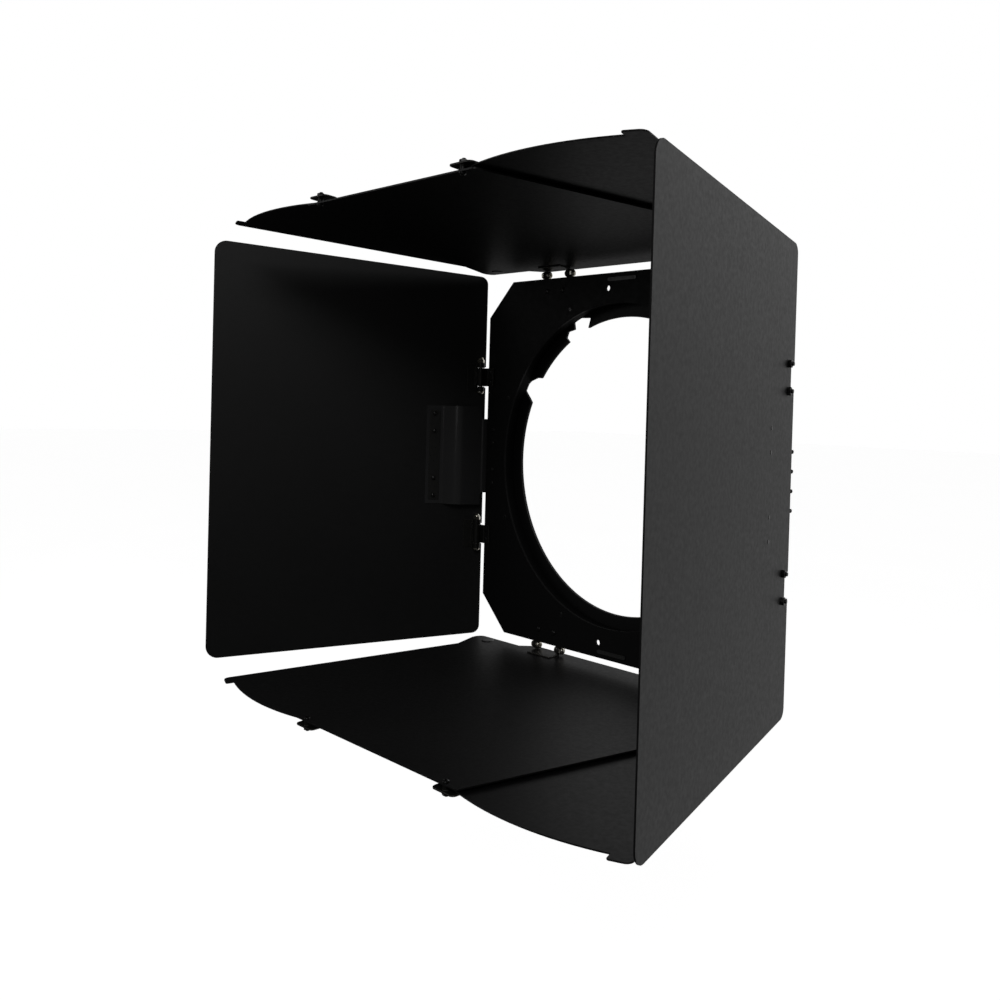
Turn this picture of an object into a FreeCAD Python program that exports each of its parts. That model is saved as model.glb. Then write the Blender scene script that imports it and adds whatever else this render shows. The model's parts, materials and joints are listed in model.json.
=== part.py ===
import FreeCAD, Part
import math
import os
import Sketcher

# Four-leaf barn door attachment for a stage or film fixture.
# Frame: X to the right, -Y along the beam (front), +Z up. The origin is on the ring axis,
# in the rear rim plane of the mount ring. All sizes are millimetres and degrees.

V = FreeCAD.Vector
doc = FreeCAD.newDocument("barn_doors")
dims = doc.addObject("Spreadsheet::Sheet", "dims")

PARAMS = [
    # frame plate
    ("plate_half_wide", 167.7), ("plate_half_high", 167.6), ("plate_chamfer", 33.0), ("plate_thick", 2.0),
    ("plate_hole_rad", 141.0), ("peg_hole_rad", 2.5), ("peg_hole_x", 11.0), ("peg_hole_z", 154.5),
    ("rib_len", 33.0), ("rib_wide", 3.2), ("rib_high", 0.8), ("rib_x", 5.5), ("rib_z", 162.0),
    # mount ring
    ("ring_depth", 26.0), ("ring_front_rad", 141.6), ("seat_rad", 143.9), ("socket_rad", 144.6),
    ("skirt_thick", 2.4), ("flange_rad", 151.5), ("flange_thick", 2.0), ("flange_flat", 147.0),
    ("ring_rivet_circle", 149.3), ("ring_rivet_rad", 1.2), ("ring_rivet_head", 2.2),
    # bayonet plate, seated in the ring from behind
    ("lip_rad", 130.0), ("lip_front", 12.4), ("lip_thick", 2.5), ("slot_floor", 143.1), ("window_front", 15.3),
    # hinges, common
    ("knuckle_rad", 3.8), ("pin_rad", 1.75), ("pin_gap", 0.05), ("tongue_half", 8.8), ("fork_gap", 0.35),
    ("fork_ear", 4.2), ("strap_thick", 1.2), ("stud_rad", 1.5), ("hole_gap", 0.05), ("nut_flats", 5.5),
    ("nut_high", 2.4), ("stud_tail", 1.5), ("rivet_head_rad", 2.4), ("rivet_head_high", 1.2),
    ("bolt_head_rad", 3.3), ("bolt_head_high", 2.6), ("washer_thick", 0.6), ("acorn_flats", 6.0), ("acorn_high", 3.2),
    ("acorn_dome", 2.6), ("hinge_offset", 76.8),
    ("ear_in", 13.1), ("ear_thick", 1.6), ("ear_gap", 0.3), ("low_acorn_high", 2.4), ("low_acorn_dome", 1.4),
    ("ridge_rad", 0.9), ("side_rivet_x", 163.7), ("side_strap_edge", 159.2),
    # side leaf hinge axis and leaf
    ("side_axis_x", 174.4), ("side_axis_front", 4.4), ("side_reach", 4.4), ("side_inset", 4.6),
    ("left_flare", 31.9), ("right_flare", 17.9), ("leaf_thick", 1.2), ("side_len", 263.0),
    ("side_rear_half", 175.0), ("side_front_half", 201.0), ("side_round_front", 11.0), ("side_round_rear", 8.0),
    ("notch_half", 10.0), ("notch_deep", 6.6),
    # cross (top and bottom) leaf hinge axis and panel
    ("cross_axis_back", 3.4), ("cross_axis_z", 171.3), ("cross_reach", 5.0), ("cross_inset", 5.0),
    ("top_flare", 6.3), ("bottom_flare", 5.5), ("panel_len", 258.0), ("panel_rear_step", 2.0),
    ("panel_step_x", 100.0), ("panel_step_out", 114.0), ("panel_rear_l", 8.0), ("panel_rear_half", 171.0),
    ("panel_front_half", 103.2), ("panel_round_rear", 8.0), ("panel_round_front", 3.0),
    ("rear_extra", 1.2),
    # wings
    ("pivot_x", 149.4), ("pivot_l", 16.5), ("pivot_rad", 3.0), ("wing_arc", 243.5), ("wing_tab_arc", 250.5),
    ("wing_offset", 12.0), ("wing_outer_deg", 19.1), ("wing_tab_deg", 18.2), ("wing_inner_deg", 34.0),
    ("wing_thick", 1.2), ("wing_low", 0.5), ("wing_high", 2.2), ("wave_thick", 0.8), ("washer_rad", 8.0),
    ("pivot_head_rad", 6.0), ("pivot_head_high", 1.0), ("pivot_peen_rad", 5.0), ("pivot_peen_high", 1.2),
    # guide clips
    ("clip_x", 88.5), ("clip_half", 12.0), ("clip_screw_l", 255.2), ("clip_front_l", 259.4), ("clip_thick", 1.2),
    ("clip_boss_rad", 2.3), ("clip_round", 4.0), ("clip_outer_l", 246.0), ("clip_clear", 5.0),
    # light seal on the side leaves
    ("seal_thick", 0.8), ("seal_half", 48.0), ("seal_tail_half", 36.0), ("clamp_half", 43.5), ("clamp_l", 43.0),
    ("clamp_wide", 10.0), ("clamp_thick", 1.5), ("clamp_rivet_rad", 1.25), ("clamp_rivet_head", 2.2),
    ("anchor_half", 42.0), ("anchor_wide", 19.0), ("anchor_deep", 12.0), ("anchor_thick", 1.2),
    ("anchor_screw_back", 6.5), ("anchor_screw_tip", 176.5), ("tail_thick", 0.6),
]
for row, (alias, value) in enumerate(PARAMS, start=1):
    dims.set("A%d" % row, alias)
    dims.set("B%d" % row, repr(value))
    dims.setAlias("B%d" % row, alias)
doc.recompute()


def g(alias):
    return float(getattr(dims, alias))


FRONT = -g("ring_depth")  # y of the plate's front face
counter = {}


def uid(stem):
    counter[stem] = counter.get(stem, 0) + 1
    return "%s_%d" % (stem, counter[stem])


def bind(obj, **exprs):
    """Bind properties to sheet expressions; a plain word is an alias."""
    for prop, expr in exprs.items():
        obj.setExpression(prop.replace("__", "."), str(expr))
    return obj


def d(expr):
    """Prefix every alias in an expression with the sheet's name."""
    out, word = "", ""
    for ch in str(expr) + " ":
        if ch.isalnum() or ch == "_":
            word += ch
            continue
        if word and (word[0].isalpha()) and word in ALIASES:
            word = "dims." + word
        out += word + ch
        word = ""
    return out.strip()


ALIASES = {a for a, _ in PARAMS}


def value(expr):
    """The number an expression over the sheet stands for, by simple parsing of + - * / and brackets."""
    probe.setExpression("Length", "1000 + (" + d(expr) + ")")
    probe.recompute()
    return float(probe.Length) - 1000.0


probe = doc.addObject("Part::Box", "size_probe")


def box(x0, x1, y0, y1, z0, z1):
    """Box between two corners, each coordinate an expression."""
    o = doc.addObject("Part::Box", uid("box"))
    for prop, a, b in (("Length", x0, x1), ("Width", y0, y1), ("Height", z0, z1)):
        o.setExpression(prop, d("(%s) - (%s)" % (b, a)))
    for axis, a in (("x", x0), ("y", y0), ("z", z0)):
        o.setExpression("Placement.Base." + axis, d(a))
    return o


TURN = {"z": FreeCAD.Rotation(), "x": FreeCAD.Rotation(V(0, 1, 0), 90), "y": FreeCAD.Rotation(V(1, 0, 0), -90)}


def cyl(rad, axis, x, y, z, length):
    """Cylinder along +axis from the given start point."""
    o = doc.addObject("Part::Cylinder", uid("cyl"))
    o.Placement = FreeCAD.Placement(V(0, 0, 0), TURN[axis])
    bind(o, Radius=d(rad), Height=d(length))
    for name, e in (("x", x), ("y", y), ("z", z)):
        o.setExpression("Placement.Base." + name, d(e))
    return o


def cone(rad_a, rad_b, axis, x, y, z, length):
    o = doc.addObject("Part::Cone", uid("cone"))
    o.Placement = FreeCAD.Placement(V(0, 0, 0), TURN[axis])
    bind(o, Radius1=d(rad_a), Radius2=d(rad_b), Height=d(length))
    for name, e in (("x", x), ("y", y), ("z", z)):
        o.setExpression("Placement.Base." + name, d(e))
    return o


def hexagon(flats, axis, x, y, z, length):
    o = doc.addObject("Part::Prism", uid("hex"))
    o.Polygon = 6
    o.Placement = FreeCAD.Placement(V(0, 0, 0), TURN[axis])
    bind(o, Circumradius=d("(%s) / 1.7320508" % flats), Height=d(length))
    for name, e in (("x", x), ("y", y), ("z", z)):
        o.setExpression("Placement.Base." + name, d(e))
    return o


def dome(rad, high, axis, sign, x, y, z):
    """Shallow dome built from a cone frustum pair, used for button heads and acorn ends."""
    o = doc.addObject("Part::Cone", uid("dome"))
    rot = TURN[axis] if sign > 0 else TURN[axis].multiply(FreeCAD.Rotation(V(1, 0, 0), 180))
    o.Placement = FreeCAD.Placement(V(0, 0, 0), rot)
    bind(o, Radius1=d(rad), Radius2=d("(%s) * 0.45" % rad), Height=d(high))
    for name, e in (("x", x), ("y", y), ("z", z)):
        o.setExpression("Placement.Base." + name, d(e))
    return o


def fuse(parts):
    if len(parts) == 1:
        return parts[0]
    o = doc.addObject("Part::MultiFuse", uid("fuse"))
    o.Shapes = parts
    o.Refine = True
    return o


def cut(base, tools):
    tool = tools[0]
    if len(tools) > 1:
        tool = doc.addObject("Part::Compound", uid("tools"))
        tool.Links = tools
    o = doc.addObject("Part::Cut", uid("cut"))
    o.Base, o.Tool = base, tool
    return o


def common(a, b):
    o = doc.addObject("Part::Common", uid("common"))
    o.Base, o.Tool = a, b
    return o


def group(parts):
    o = doc.addObject("Part::Compound", uid("group"))
    o.Links = parts
    return o


def role_plane(body, role):
    return [f for f in body.Origin.OriginFeatures if f.Role == role][0]


def outline(body, points, role="XY_Plane"):
    """Closed polygon sketch on one of the body's origin planes, every corner driven by the sheet."""
    sk = body.newObject("Sketcher::SketchObject", uid("outline"))
    sk.AttachmentSupport = [(role_plane(body, role), "")]
    sk.MapMode = "FlatFace"
    num = [(value(x), value(y)) for x, y in points]
    n = len(points)
    for i in range(n):
        a, b = num[i], num[(i + 1) % n]
        sk.addGeometry(Part.LineSegment(V(a[0], a[1], 0), V(b[0], b[1], 0)), False)
    for i in range(n):
        sk.addConstraint(Sketcher.Constraint("Coincident", i, 2, (i + 1) % n, 1))
    for i, (ex, ey) in enumerate(points):
        for kind, expr, number in (("DistanceX", ex, num[i][0]), ("DistanceY", ey, num[i][1])):
            k = sk.addConstraint(Sketcher.Constraint(kind, -1, 1, i, 1, number))
            sk.setExpression("Constraints[%d]" % k, d(expr))
    return sk


def padded_body(stem, points, length, role="XY_Plane", symmetric=False):
    """PartDesign body: polygon outline padded by a bound length."""
    body = doc.addObject("PartDesign::Body", uid(stem))
    sk = outline(body, points, role)
    pad = body.newObject("PartDesign::Pad", uid("pad"))
    pad.Profile = sk
    if symmetric:
        pad.SideType = "Symmetric"
    pad.setExpression("Length", d(length))
    body.Tip = pad
    doc.recompute()
    return body


def round_corners(body, corners, radius):
    """Fillet the upright edges of a flat pad that pass through the named corners."""
    tip = body.Tip
    names = []
    for i, e in enumerate(tip.Shape.Edges, start=1):
        p, q = e.Vertexes[0].Point, e.Vertexes[-1].Point
        if len(e.Vertexes) == 2 and abs(p.x - q.x) < 1e-4 and abs(p.y - q.y) < 1e-4:
            for cx, cy in corners:
                if abs(p.x - value(cx)) < 0.01 and abs(p.y - value(cy)) < 0.01:
                    names.append("Edge%d" % i)
    f = body.newObject("PartDesign::Fillet", uid("round"))
    f.Base = (tip, names)
    f.setExpression("Radius", d(radius))
    body.Tip = f
    doc.recompute()
    if len(names) != len(corners):
        raise RuntimeError("corner not found on " + body.Name)


def drill(body, holes):
    """Round holes through a flat pad, cut both ways from the sketch plane."""
    sk = body.newObject("Sketcher::SketchObject", uid("holes"))
    sk.AttachmentSupport = [(role_plane(body, "XY_Plane"), "")]
    sk.MapMode = "FlatFace"
    for i, (ex, ey, er) in enumerate(holes):
        x, y, r = value(ex), value(ey), value(er)
        sk.addGeometry(Part.Circle(V(x, y, 0), V(0, 0, 1), r), False)
        for kind, expr, number in (("DistanceX", ex, x), ("DistanceY", ey, y)):
            k = sk.addConstraint(Sketcher.Constraint(kind, -1, 1, i, 3, number))
            sk.setExpression("Constraints[%d]" % k, d(expr))
        k = sk.addConstraint(Sketcher.Constraint("Radius", i, r))
        sk.setExpression("Constraints[%d]" % k, d(er))
    before = body.Tip.Shape.Volume
    pocket = body.newObject("PartDesign::Pocket", uid("pocket"))
    pocket.Profile = sk
    pocket.SideType = "Symmetric"
    pocket.Type = "Length"
    pocket.Length = 40
    body.Tip = pocket
    doc.recompute()
    if not pocket.Shape.Volume < before - 0.1:
        raise RuntimeError("holes cut nothing on " + body.Name)


NODES = []


def keep(obj, label, placement=None):
    """Name a finished piece and put it in its place."""
    obj.Label = label
    if placement is not None:
        obj.Placement = placement
    NODES.append(obj)
    return obj


def shifted(x=0.0, y=0.0, z=0.0):
    return FreeCAD.Placement(V(x, y, z), FreeCAD.Rotation())


# ---------------------------------------------------------------- placements
# Root pieces are drawn with y = 0 on the plate's front face and moved back by the ring depth.
ROOT = shifted(y=FRONT)


def frame_of(xdir, ydir, zdir, origin):
    m = FreeCAD.Matrix(xdir.x, ydir.x, zdir.x, origin.x,
                       xdir.y, ydir.y, zdir.y, origin.y,
                       xdir.z, ydir.z, zdir.z, origin.z, 0, 0, 0, 1)
    return FreeCAD.Placement(m)


def side_frame(sign, flare):
    """Leaf frame of a side leaf: X along the hinge, Y along the leaf, Z outward, origin on the rear edge."""
    a = math.radians(flare)
    u = V(sign * math.sin(a), -math.cos(a), 0)
    n = V(sign * math.cos(a), math.sin(a), 0)
    axis = V(sign * g("side_axis_x"), FRONT - g("side_axis_front"), 0)
    return frame_of(u.cross(n), u, n, axis - u * g("side_reach") + n * g("side_inset"))


def cross_frame(sign, flare):
    a = math.radians(flare)
    u = V(0, -math.cos(a), sign * math.sin(a))
    n = V(0, math.sin(a), sign * math.cos(a))
    axis = V(0, FRONT + g("cross_axis_back"), sign * g("cross_axis_z"))
    return frame_of(u.cross(n), u, n, axis - u * g("cross_reach") + n * g("cross_inset"))


# ---------------------------------------------------------------- frame plate
w, h, c = "plate_half_wide", "plate_half_high", "plate_chamfer"
octagon = [("-%s" % w, "-%s + %s" % (h, c)), ("-%s + %s" % (w, c), "-%s" % h), ("%s - %s" % (w, c), "-%s" % h),
           (w, "-%s + %s" % (h, c)), (w, "%s - %s" % (h, c)), ("%s - %s" % (w, c), h),
           ("-%s + %s" % (w, c), h), ("-%s" % w, "%s - %s" % (h, c))]
# the sketch lies in the XZ plane; its own x is the object's X and its y the object's Z
plate = padded_body("plate", octagon, "plate_thick")
plate_holes = [("0", "0", "plate_hole_rad")]
for sz in ("", "-"):
    plate_holes.append(("-peg_hole_x", sz + "peg_hole_z", "peg_hole_rad"))
    for sx in ("", "-"):
        for off in ("- 10", "+ 10"):
            plate_holes.append(("%shinge_offset %s" % (sx, off), "%s156" % sz, "stud_rad + hole_gap"))
for sx in ("", "-"):
    for sz in ("", "-"):
        for off in ("- 5", "+ 5"):
            plate_holes.append(("%sside_rivet_x" % sx, "%shinge_offset %s" % (sz, off), "stud_rad + hole_gap"))
    for z in ("13", "26", "-13", "-26"):
        plate_holes.append(("%s158.5" % sx, z, "clamp_rivet_rad + hole_gap"))
ring_angles = [22.5 + 45 * k for k in range(8)]
for a in ring_angles:
    ca, sa = math.cos(math.radians(a)), math.sin(math.radians(a))
    plate_holes.append(("ring_rivet_circle * %.9f" % ca, "ring_rivet_circle * %.9f" % sa, "ring_rivet_rad + hole_gap"))
drill(plate, plate_holes)
# stand the plate up: pad direction becomes +Y (towards the lamp)
UP = FreeCAD.Placement(V(0, 0, 0), FreeCAD.Rotation(V(1, 0, 0), 90))
plate.Placement = FreeCAD.Placement(V(0, g("plate_thick"), 0), FreeCAD.Rotation(V(1, 0, 0), 90))
countersinks = []
for a in ring_angles:
    ca, sa = math.cos(math.radians(a)), math.sin(math.radians(a))
    countersinks.append(cone("ring_rivet_head + hole_gap", "ring_rivet_rad + hole_gap", "y",
                             "ring_rivet_circle * %.9f" % ca, "0", "ring_rivet_circle * %.9f" % sa, "1"))
plate_cut = cut(plate, countersinks)
ribs = []
for sz in ("", "-"):
    zc = "%srib_z" % sz
    half = "(rib_len - rib_wide) / 2"
    ribs.append(box("rib_x - %s" % half, "rib_x + %s" % half, "-rib_high", "0.3", "%s - rib_wide / 2" % zc, "%s + rib_wide / 2" % zc))
    for s in ("-", "+"):
        ribs.append(cyl("rib_wide / 2", "y", "rib_x %s %s" % (s, half), "-rib_high", zc, "rib_high + 0.3"))
frame_plate = fuse([plate_cut] + ribs)
keep(frame_plate, "frame_plate", ROOT)

# ---------------------------------------------------------------- mount ring
ring_body = doc.addObject("PartDesign::Body", "ring_body")
so = "socket_rad + skirt_thick"
lb = "lip_front + lip_thick"
ft = "plate_thick + flange_thick"
profile = [("ring_front_rad", "plate_thick"), ("flange_rad", "plate_thick"), ("flange_rad", ft), (so, ft), (so, "ring_depth"),
           ("socket_rad", "ring_depth"), ("socket_rad", lb), ("seat_rad", lb), ("seat_rad", "lip_front"), ("ring_front_rad", "lip_front")]
ring_sketch = outline(ring_body, profile)
rev = ring_body.newObject("PartDesign::Revolution", "ring_turn")
rev.Profile = ring_sketch
rev.ReferenceAxis = (ring_sketch, ["V_Axis"])
rev.Angle = 360
ring_body.Tip = rev
doc.recompute()
# The sketch's y is the depth, which is the object's +Y: the axis is already along Y.


def polar(r, a, turn=0.0):
    """Point on the ring face: the angle runs from the -X side towards +Z."""
    t = math.radians(a + turn)
    return ("-(%s) * %.9f" % (r, math.cos(t)), "(%s) * %.9f" % (r, math.sin(t)))


slot_a = [("lip_rad - 6", 57.6), ("lip_rad", 57.6), ("lip_rad + 5.5", 57.0), ("lip_rad + 9", 59.0), ("lip_rad + 6.5", 62.4),
          ("slot_floor", 63.2), ("slot_floor", 66.5), ("lip_rad + 7.7", 71.7), ("lip_rad", 69.3), ("lip_rad - 6", 69.3)]
slot_b = [("lip_rad - 6", 24.3), ("lip_rad", 24.3), ("lip_rad + 4", 25.2), ("slot_floor", 26.8), ("slot_floor", 29.6),
          ("lip_rad + 11.4", 31.4), ("lip_rad + 5.4", 34.5), ("lip_rad", 36.0), ("lip_rad - 6", 36.2)]
lip_body = doc.addObject("PartDesign::Body", "lip_body")
lip_sketch = outline(lip_body, [("lip_rad", "lip_front"), ("seat_rad", "lip_front"), ("seat_rad", lb), ("lip_rad", lb)])
lip_turn = lip_body.newObject("PartDesign::Revolution", "lip_turn")
lip_turn.Profile = lip_sketch
lip_turn.ReferenceAxis = (lip_sketch, ["V_Axis"])
lip_turn.Angle = 360
lip_body.Tip = lip_turn
doc.recompute()
bayonet_tools, slot_tools = [], []
for turn in (0.0, 180.0):
    for poly in (slot_a, slot_b):
        b = padded_body("slot", [polar(r, a, turn) for r, a in poly], "lip_thick + 2")
        b.Placement = FreeCAD.Placement(V(0, g("lip_front") + g("lip_thick") + 1, 0), FreeCAD.Rotation(V(1, 0, 0), 90))
        bayonet_tools.append(b)
keep(cut(lip_body, bayonet_tools), "bayonet_plate", ROOT)
for s in ("", "-"):
    slot_tools.append(box("%sflange_flat + %s" % (s, "0" if s == "" else "-12"), "%sflange_flat + %s" % (s, "12" if s == "" else "0"),
                          "plate_thick - 1", "plate_thick + flange_thick", "-anchor_half - 2", "anchor_half + 2"))
for a in ring_angles:
    ca, sa = math.cos(math.radians(a)), math.sin(math.radians(a))
    slot_tools.append(cyl("ring_rivet_rad + hole_gap", "y", "ring_rivet_circle * %.9f" % ca, "plate_thick - 1",
                          "ring_rivet_circle * %.9f" % sa, "flange_thick + 2"))
# windows in the skirt behind the slots, open to the rear rim
for turn in (0.0, 180.0):
    for a0, a1 in ((52.0, 72.0), (20.0, 38.0)):
        n = 6
        arc = [a0 + (a1 - a0) * k / n for k in range(n + 1)]
        pts = [polar("seat_rad - 4", a, turn) for a in arc] + [polar("flange_rad + 1", a, turn) for a in arc[::-1]]
        win = padded_body("window", pts, "ring_depth - window_front + 1")
        win.Placement = FreeCAD.Placement(V(0, g("ring_depth") + 1, 0), FreeCAD.Rotation(V(1, 0, 0), 90))
        slot_tools.append(win)
keep(cut(ring_body, slot_tools), "mount_ring", ROOT)

rivets = []
for a in ring_angles:
    ca, sa = math.cos(math.radians(a)), math.sin(math.radians(a))
    x, z = "ring_rivet_circle * %.9f" % ca, "ring_rivet_circle * %.9f" % sa
    rivets.append(fuse([cone("ring_rivet_head", "ring_rivet_rad", "y", x, "0", z, "1"),
                        cyl("ring_rivet_rad", "y", x, "0.5", z, "plate_thick + flange_thick - 0.5"),
                        cone("ring_rivet_head", "ring_rivet_rad", "y", x, "plate_thick + flange_thick", z, "1")]))
keep(group(rivets), "ring_rivets", ROOT)

# ---------------------------------------------------------------- seal anchors on the frame sides
anchor_rivets, anchor_screws, anchor_nuts = [], [], []
for side, s in (("left", "-"), ("right", "")):
    sg = -1 if s == "-" else 1

    def span(a, b, sg=sg):
        """Order two distances from the centre line on this side."""
        return ("-(%s)" % b, "-(%s)" % a) if sg < 0 else (a, b)

    x0, x1 = span("plate_half_wide - anchor_wide", "plate_half_wide")
    back = box(x0, x1, "plate_thick", "plate_thick + anchor_thick", "-anchor_half", "anchor_half")
    x0, x1 = span("plate_half_wide - anchor_thick", "plate_half_wide")
    wall = box(x0, x1, "plate_thick", "plate_thick + anchor_deep", "-anchor_half", "anchor_half")
    screw_z = ["7.35", "22", "-7.35", "-22"]
    tools = [cyl("stud_rad + hole_gap", "x", span("plate_half_wide - 4", "plate_half_wide + 4")[0], "anchor_screw_back", z, "8") for z in screw_z]
    for z in ("13", "26", "-13", "-26"):
        tools.append(cyl("clamp_rivet_rad + hole_gap", "y", "%s158.5" % s, "plate_thick - 1", z, "anchor_thick + 2"))
    keep(cut(fuse([back, wall]), tools), side + "_seal_anchor", ROOT)
    # the tail of the seal lies on the anchor's outer wall
    x0, x1 = span("plate_half_wide", "plate_half_wide + tail_thick")
    tail = box(x0, x1, "plate_thick + 0.3", "plate_thick + anchor_deep - 1", "-seal_tail_half", "seal_tail_half")
    tools = [cyl("stud_rad + hole_gap", "x", span("plate_half_wide - 4", "plate_half_wide + 4")[0], "anchor_screw_back", z, "8") for z in screw_z]
    keep(cut(tail, tools), side + "_seal_tail", ROOT)
    for z in screw_z:
        a, b = span("plate_half_wide - anchor_thick", "anchor_screw_tip")
        shank = cyl("stud_rad", "x", a, "anchor_screw_back", z, "anchor_screw_tip - plate_half_wide + anchor_thick")
        a, b = span("plate_half_wide - anchor_thick - 1.8", "plate_half_wide - anchor_thick")
        head = cyl("2.7", "x", a, "anchor_screw_back", z, "1.8")
        anchor_screws.append(fuse([shank, head]))
        a, b = span("plate_half_wide + tail_thick", "plate_half_wide + tail_thick + nut_high")
        nut = hexagon("nut_flats", "x", a, "anchor_screw_back", z, "nut_high")
        anchor_nuts.append(cut(nut, [cyl("stud_rad + hole_gap", "x", a, "anchor_screw_back", z, "nut_high")]))
    for z in ("13", "26", "-13", "-26"):
        x = "%s158.5" % s
        anchor_rivets.append(fuse([cyl("clamp_rivet_rad", "y", x, "-0.2", z, "plate_thick + anchor_thick + 0.4"),
                                   dome("2", "0.9", "y", -1, x, "0", z),
                                   dome("2", "0.9", "y", 1, x, "plate_thick + anchor_thick", z)]))
keep(group(anchor_rivets), "anchor_rivets", ROOT)
keep(group(anchor_screws), "anchor_screws", ROOT)
keep(group(anchor_nuts), "anchor_nuts", ROOT)

# ---------------------------------------------------------------- frame halves of the side hinges (tongues)
mount_rivets = []
for side, sg in (("left", -1), ("right", 1)):
    for level, s in (("upper", ""), ("lower", "-")):
        zc = "%shinge_offset" % s
        ax = "%sside_axis_x" % ("-" if sg < 0 else "")

        def span(a, b, sg=sg):
            return ("-(%s)" % b, "-(%s)" % a) if sg < 0 else (a, b)

        x0, x1 = span("side_strap_edge", "side_axis_x")
        strap = box(x0, x1, "-strap_thick", "0", "%s - tongue_half" % zc, "%s + tongue_half" % zc)
        barrel = cyl("knuckle_rad", "z", ax, "-side_axis_front", "%s - tongue_half" % zc, "2 * tongue_half")
        x0, x1 = span("side_axis_x - 3.2", "side_axis_x")
        web = box(x0, x1, "-side_axis_front", "-0.4", "%s - tongue_half" % zc, "%s + tongue_half" % zc)
        tools = [cyl("pin_rad + pin_gap", "z", ax, "-side_axis_front", "%s - tongue_half - 1" % zc, "2 * tongue_half + 2")]
        for off in ("- 5", "+ 5"):
            tools.append(cyl("stud_rad + hole_gap", "y", "%sside_rivet_x" % ("-" if sg < 0 else ""), "-3", "%s %s" % (zc, off), "4"))
        # two pressed ridges stiffen the strap, one over the plate's edge and one along its own edge
        ridges = [cyl("ridge_rad", "z", "%s(%s)" % ("-" if sg < 0 else "", x), "-strap_thick + 0.1", "%s - tongue_half + 0.6" % zc, "2 * tongue_half - 1.2")
                  for x in ("side_axis_x - 6.8", "side_strap_edge + ridge_rad")]
        keep(cut(fuse([strap, barrel, web] + ridges), tools), "%s_%s_hinge_tongue" % (side, level), ROOT)
        for off in ("- 5", "+ 5"):
            x, z = "%sside_rivet_x" % ("-" if sg < 0 else ""), "%s %s" % (zc, off)
            mount_rivets.append(fuse([cyl("stud_rad", "y", x, "-strap_thick - 0.3", z, "strap_thick + plate_thick + 0.6"),
                                      dome("rivet_head_rad", "rivet_head_high", "y", -1, x, "-strap_thick", z),
                                      dome("rivet_head_rad", "rivet_head_high", "y", 1, x, "plate_thick", z)]))

# ---------------------------------------------------------------- frame halves of the cross hinges (forks)
for level, sz in (("top", ""), ("bottom", "-")):
    up = 1 if sz == "" else -1
    for side, sx in (("left", "-"), ("right", "")):
        xc = "%shinge_offset" % sx
        zc = "%scross_axis_z" % sz

        def zspan(a, b, up=up):
            return (a, b) if up > 0 else ("-(%s)" % b, "-(%s)" % a)

        half = "ear_in + 2 * ear_thick + ear_gap"
        z0, z1 = zspan("150.5", "166.5")
        solids = [box("%s - (%s)" % (xc, half), "%s + %s" % (xc, half), "plate_thick", "plate_thick + 1.5", z0, z1)]
        z0, z1 = zspan("150.5", "cross_axis_z")
        for s in ("-", "+"):
            a, b = ("%s - (%s)" % (xc, half), "%s - ear_in - ear_thick - ear_gap" % xc) if s == "-" else ("%s + ear_in + ear_thick + ear_gap" % xc, "%s + %s" % (xc, half))
            solids.append(box(a, b, "plate_thick", "plate_thick + 3.5", z0, z1))
            solids.append(cyl("knuckle_rad", "x", a, "cross_axis_back", zc, "ear_thick"))
        tools = [cyl("pin_rad + pin_gap", "x", "%s - 30" % xc, "cross_axis_back", zc, "60")]
        for off in ("- 10", "+ 10"):
            tools.append(cyl("stud_rad + hole_gap", "y", "%s %s" % (xc, off), "plate_thick - 1", "%s156" % sz, "4"))
        keep(cut(fuse(solids), tools), "%s_%s_hinge_fork" % (level, side), ROOT)
        for off in ("- 10", "+ 10"):
            x, z = "%s %s" % (xc, off), "%s156" % sz
            mount_rivets.append(fuse([cyl("stud_rad", "y", x, "-0.3", z, "plate_thick + 1.5 + 0.6"),
                                      dome("rivet_head_rad", "rivet_head_high", "y", -1, x, "0", z),
                                      dome("rivet_head_rad", "rivet_head_high", "y", 1, x, "plate_thick + 1.5", z)]))
keep(group(mount_rivets), "hinge_mount_rivets", ROOT)

# ---------------------------------------------------------------- hinge bolts and acorn nuts
bolts, acorns = [], []


def bolt_set(axis, flip, half, place, high="acorn_high", crown="acorn_dome"):
    """One bolt with a button head at the low end and an acorn nut at the high end, centred on its place; flip turns it round."""
    lo = "-(%s) - washer_thick" % half
    hi = "(%s) + washer_thick" % half
    shank = cyl("pin_rad", "z", "0", "0", "%s - 0.4" % lo, "(%s) - (%s) + 0.4 + %s - 0.4" % (hi, lo, high))
    head = cyl("bolt_head_rad", "z", "0", "0", "%s - bolt_head_high * 0.6" % lo, "bolt_head_high * 0.6")
    top = dome("bolt_head_rad", "bolt_head_high * 0.4", "z", -1, "0", "0", "%s - bolt_head_high * 0.6" % lo)
    washer = cut(cyl("bolt_head_rad + 0.2", "z", "0", "0", lo, "washer_thick"), [cyl("pin_rad + 0.05", "z", "0", "0", "%s - 0.5" % lo, "washer_thick + 1")])
    bolt = fuse([shank, head, top])
    nut = fuse([hexagon("acorn_flats", "z", "0", "0", hi, high), dome("acorn_flats / 2 - 0.2", crown, "z", 1, "0", "0", "%s + %s" % (hi, high))])
    nut = cut(nut, [cyl("pin_rad + 0.05", "z", "0", "0", "%s - 0.5" % hi, "%s + 0.3" % high)])
    washer_b = cut(cyl("bolt_head_rad + 0.2", "z", "0", "0", "(%s) - washer_thick" % hi, "washer_thick"), [cyl("pin_rad + 0.05", "z", "0", "0", "(%s) - washer_thick - 0.5" % hi, "washer_thick + 1")])
    for o in (bolt, nut, washer, washer_b):
        o.Placement = FreeCAD.Placement(place, TURN[axis].multiply(FreeCAD.Rotation(V(1, 0, 0), 180)) if flip else TURN[axis])
    bolts.append(bolt)
    acorns.extend([nut])
    washers.extend([washer, washer_b])


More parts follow.
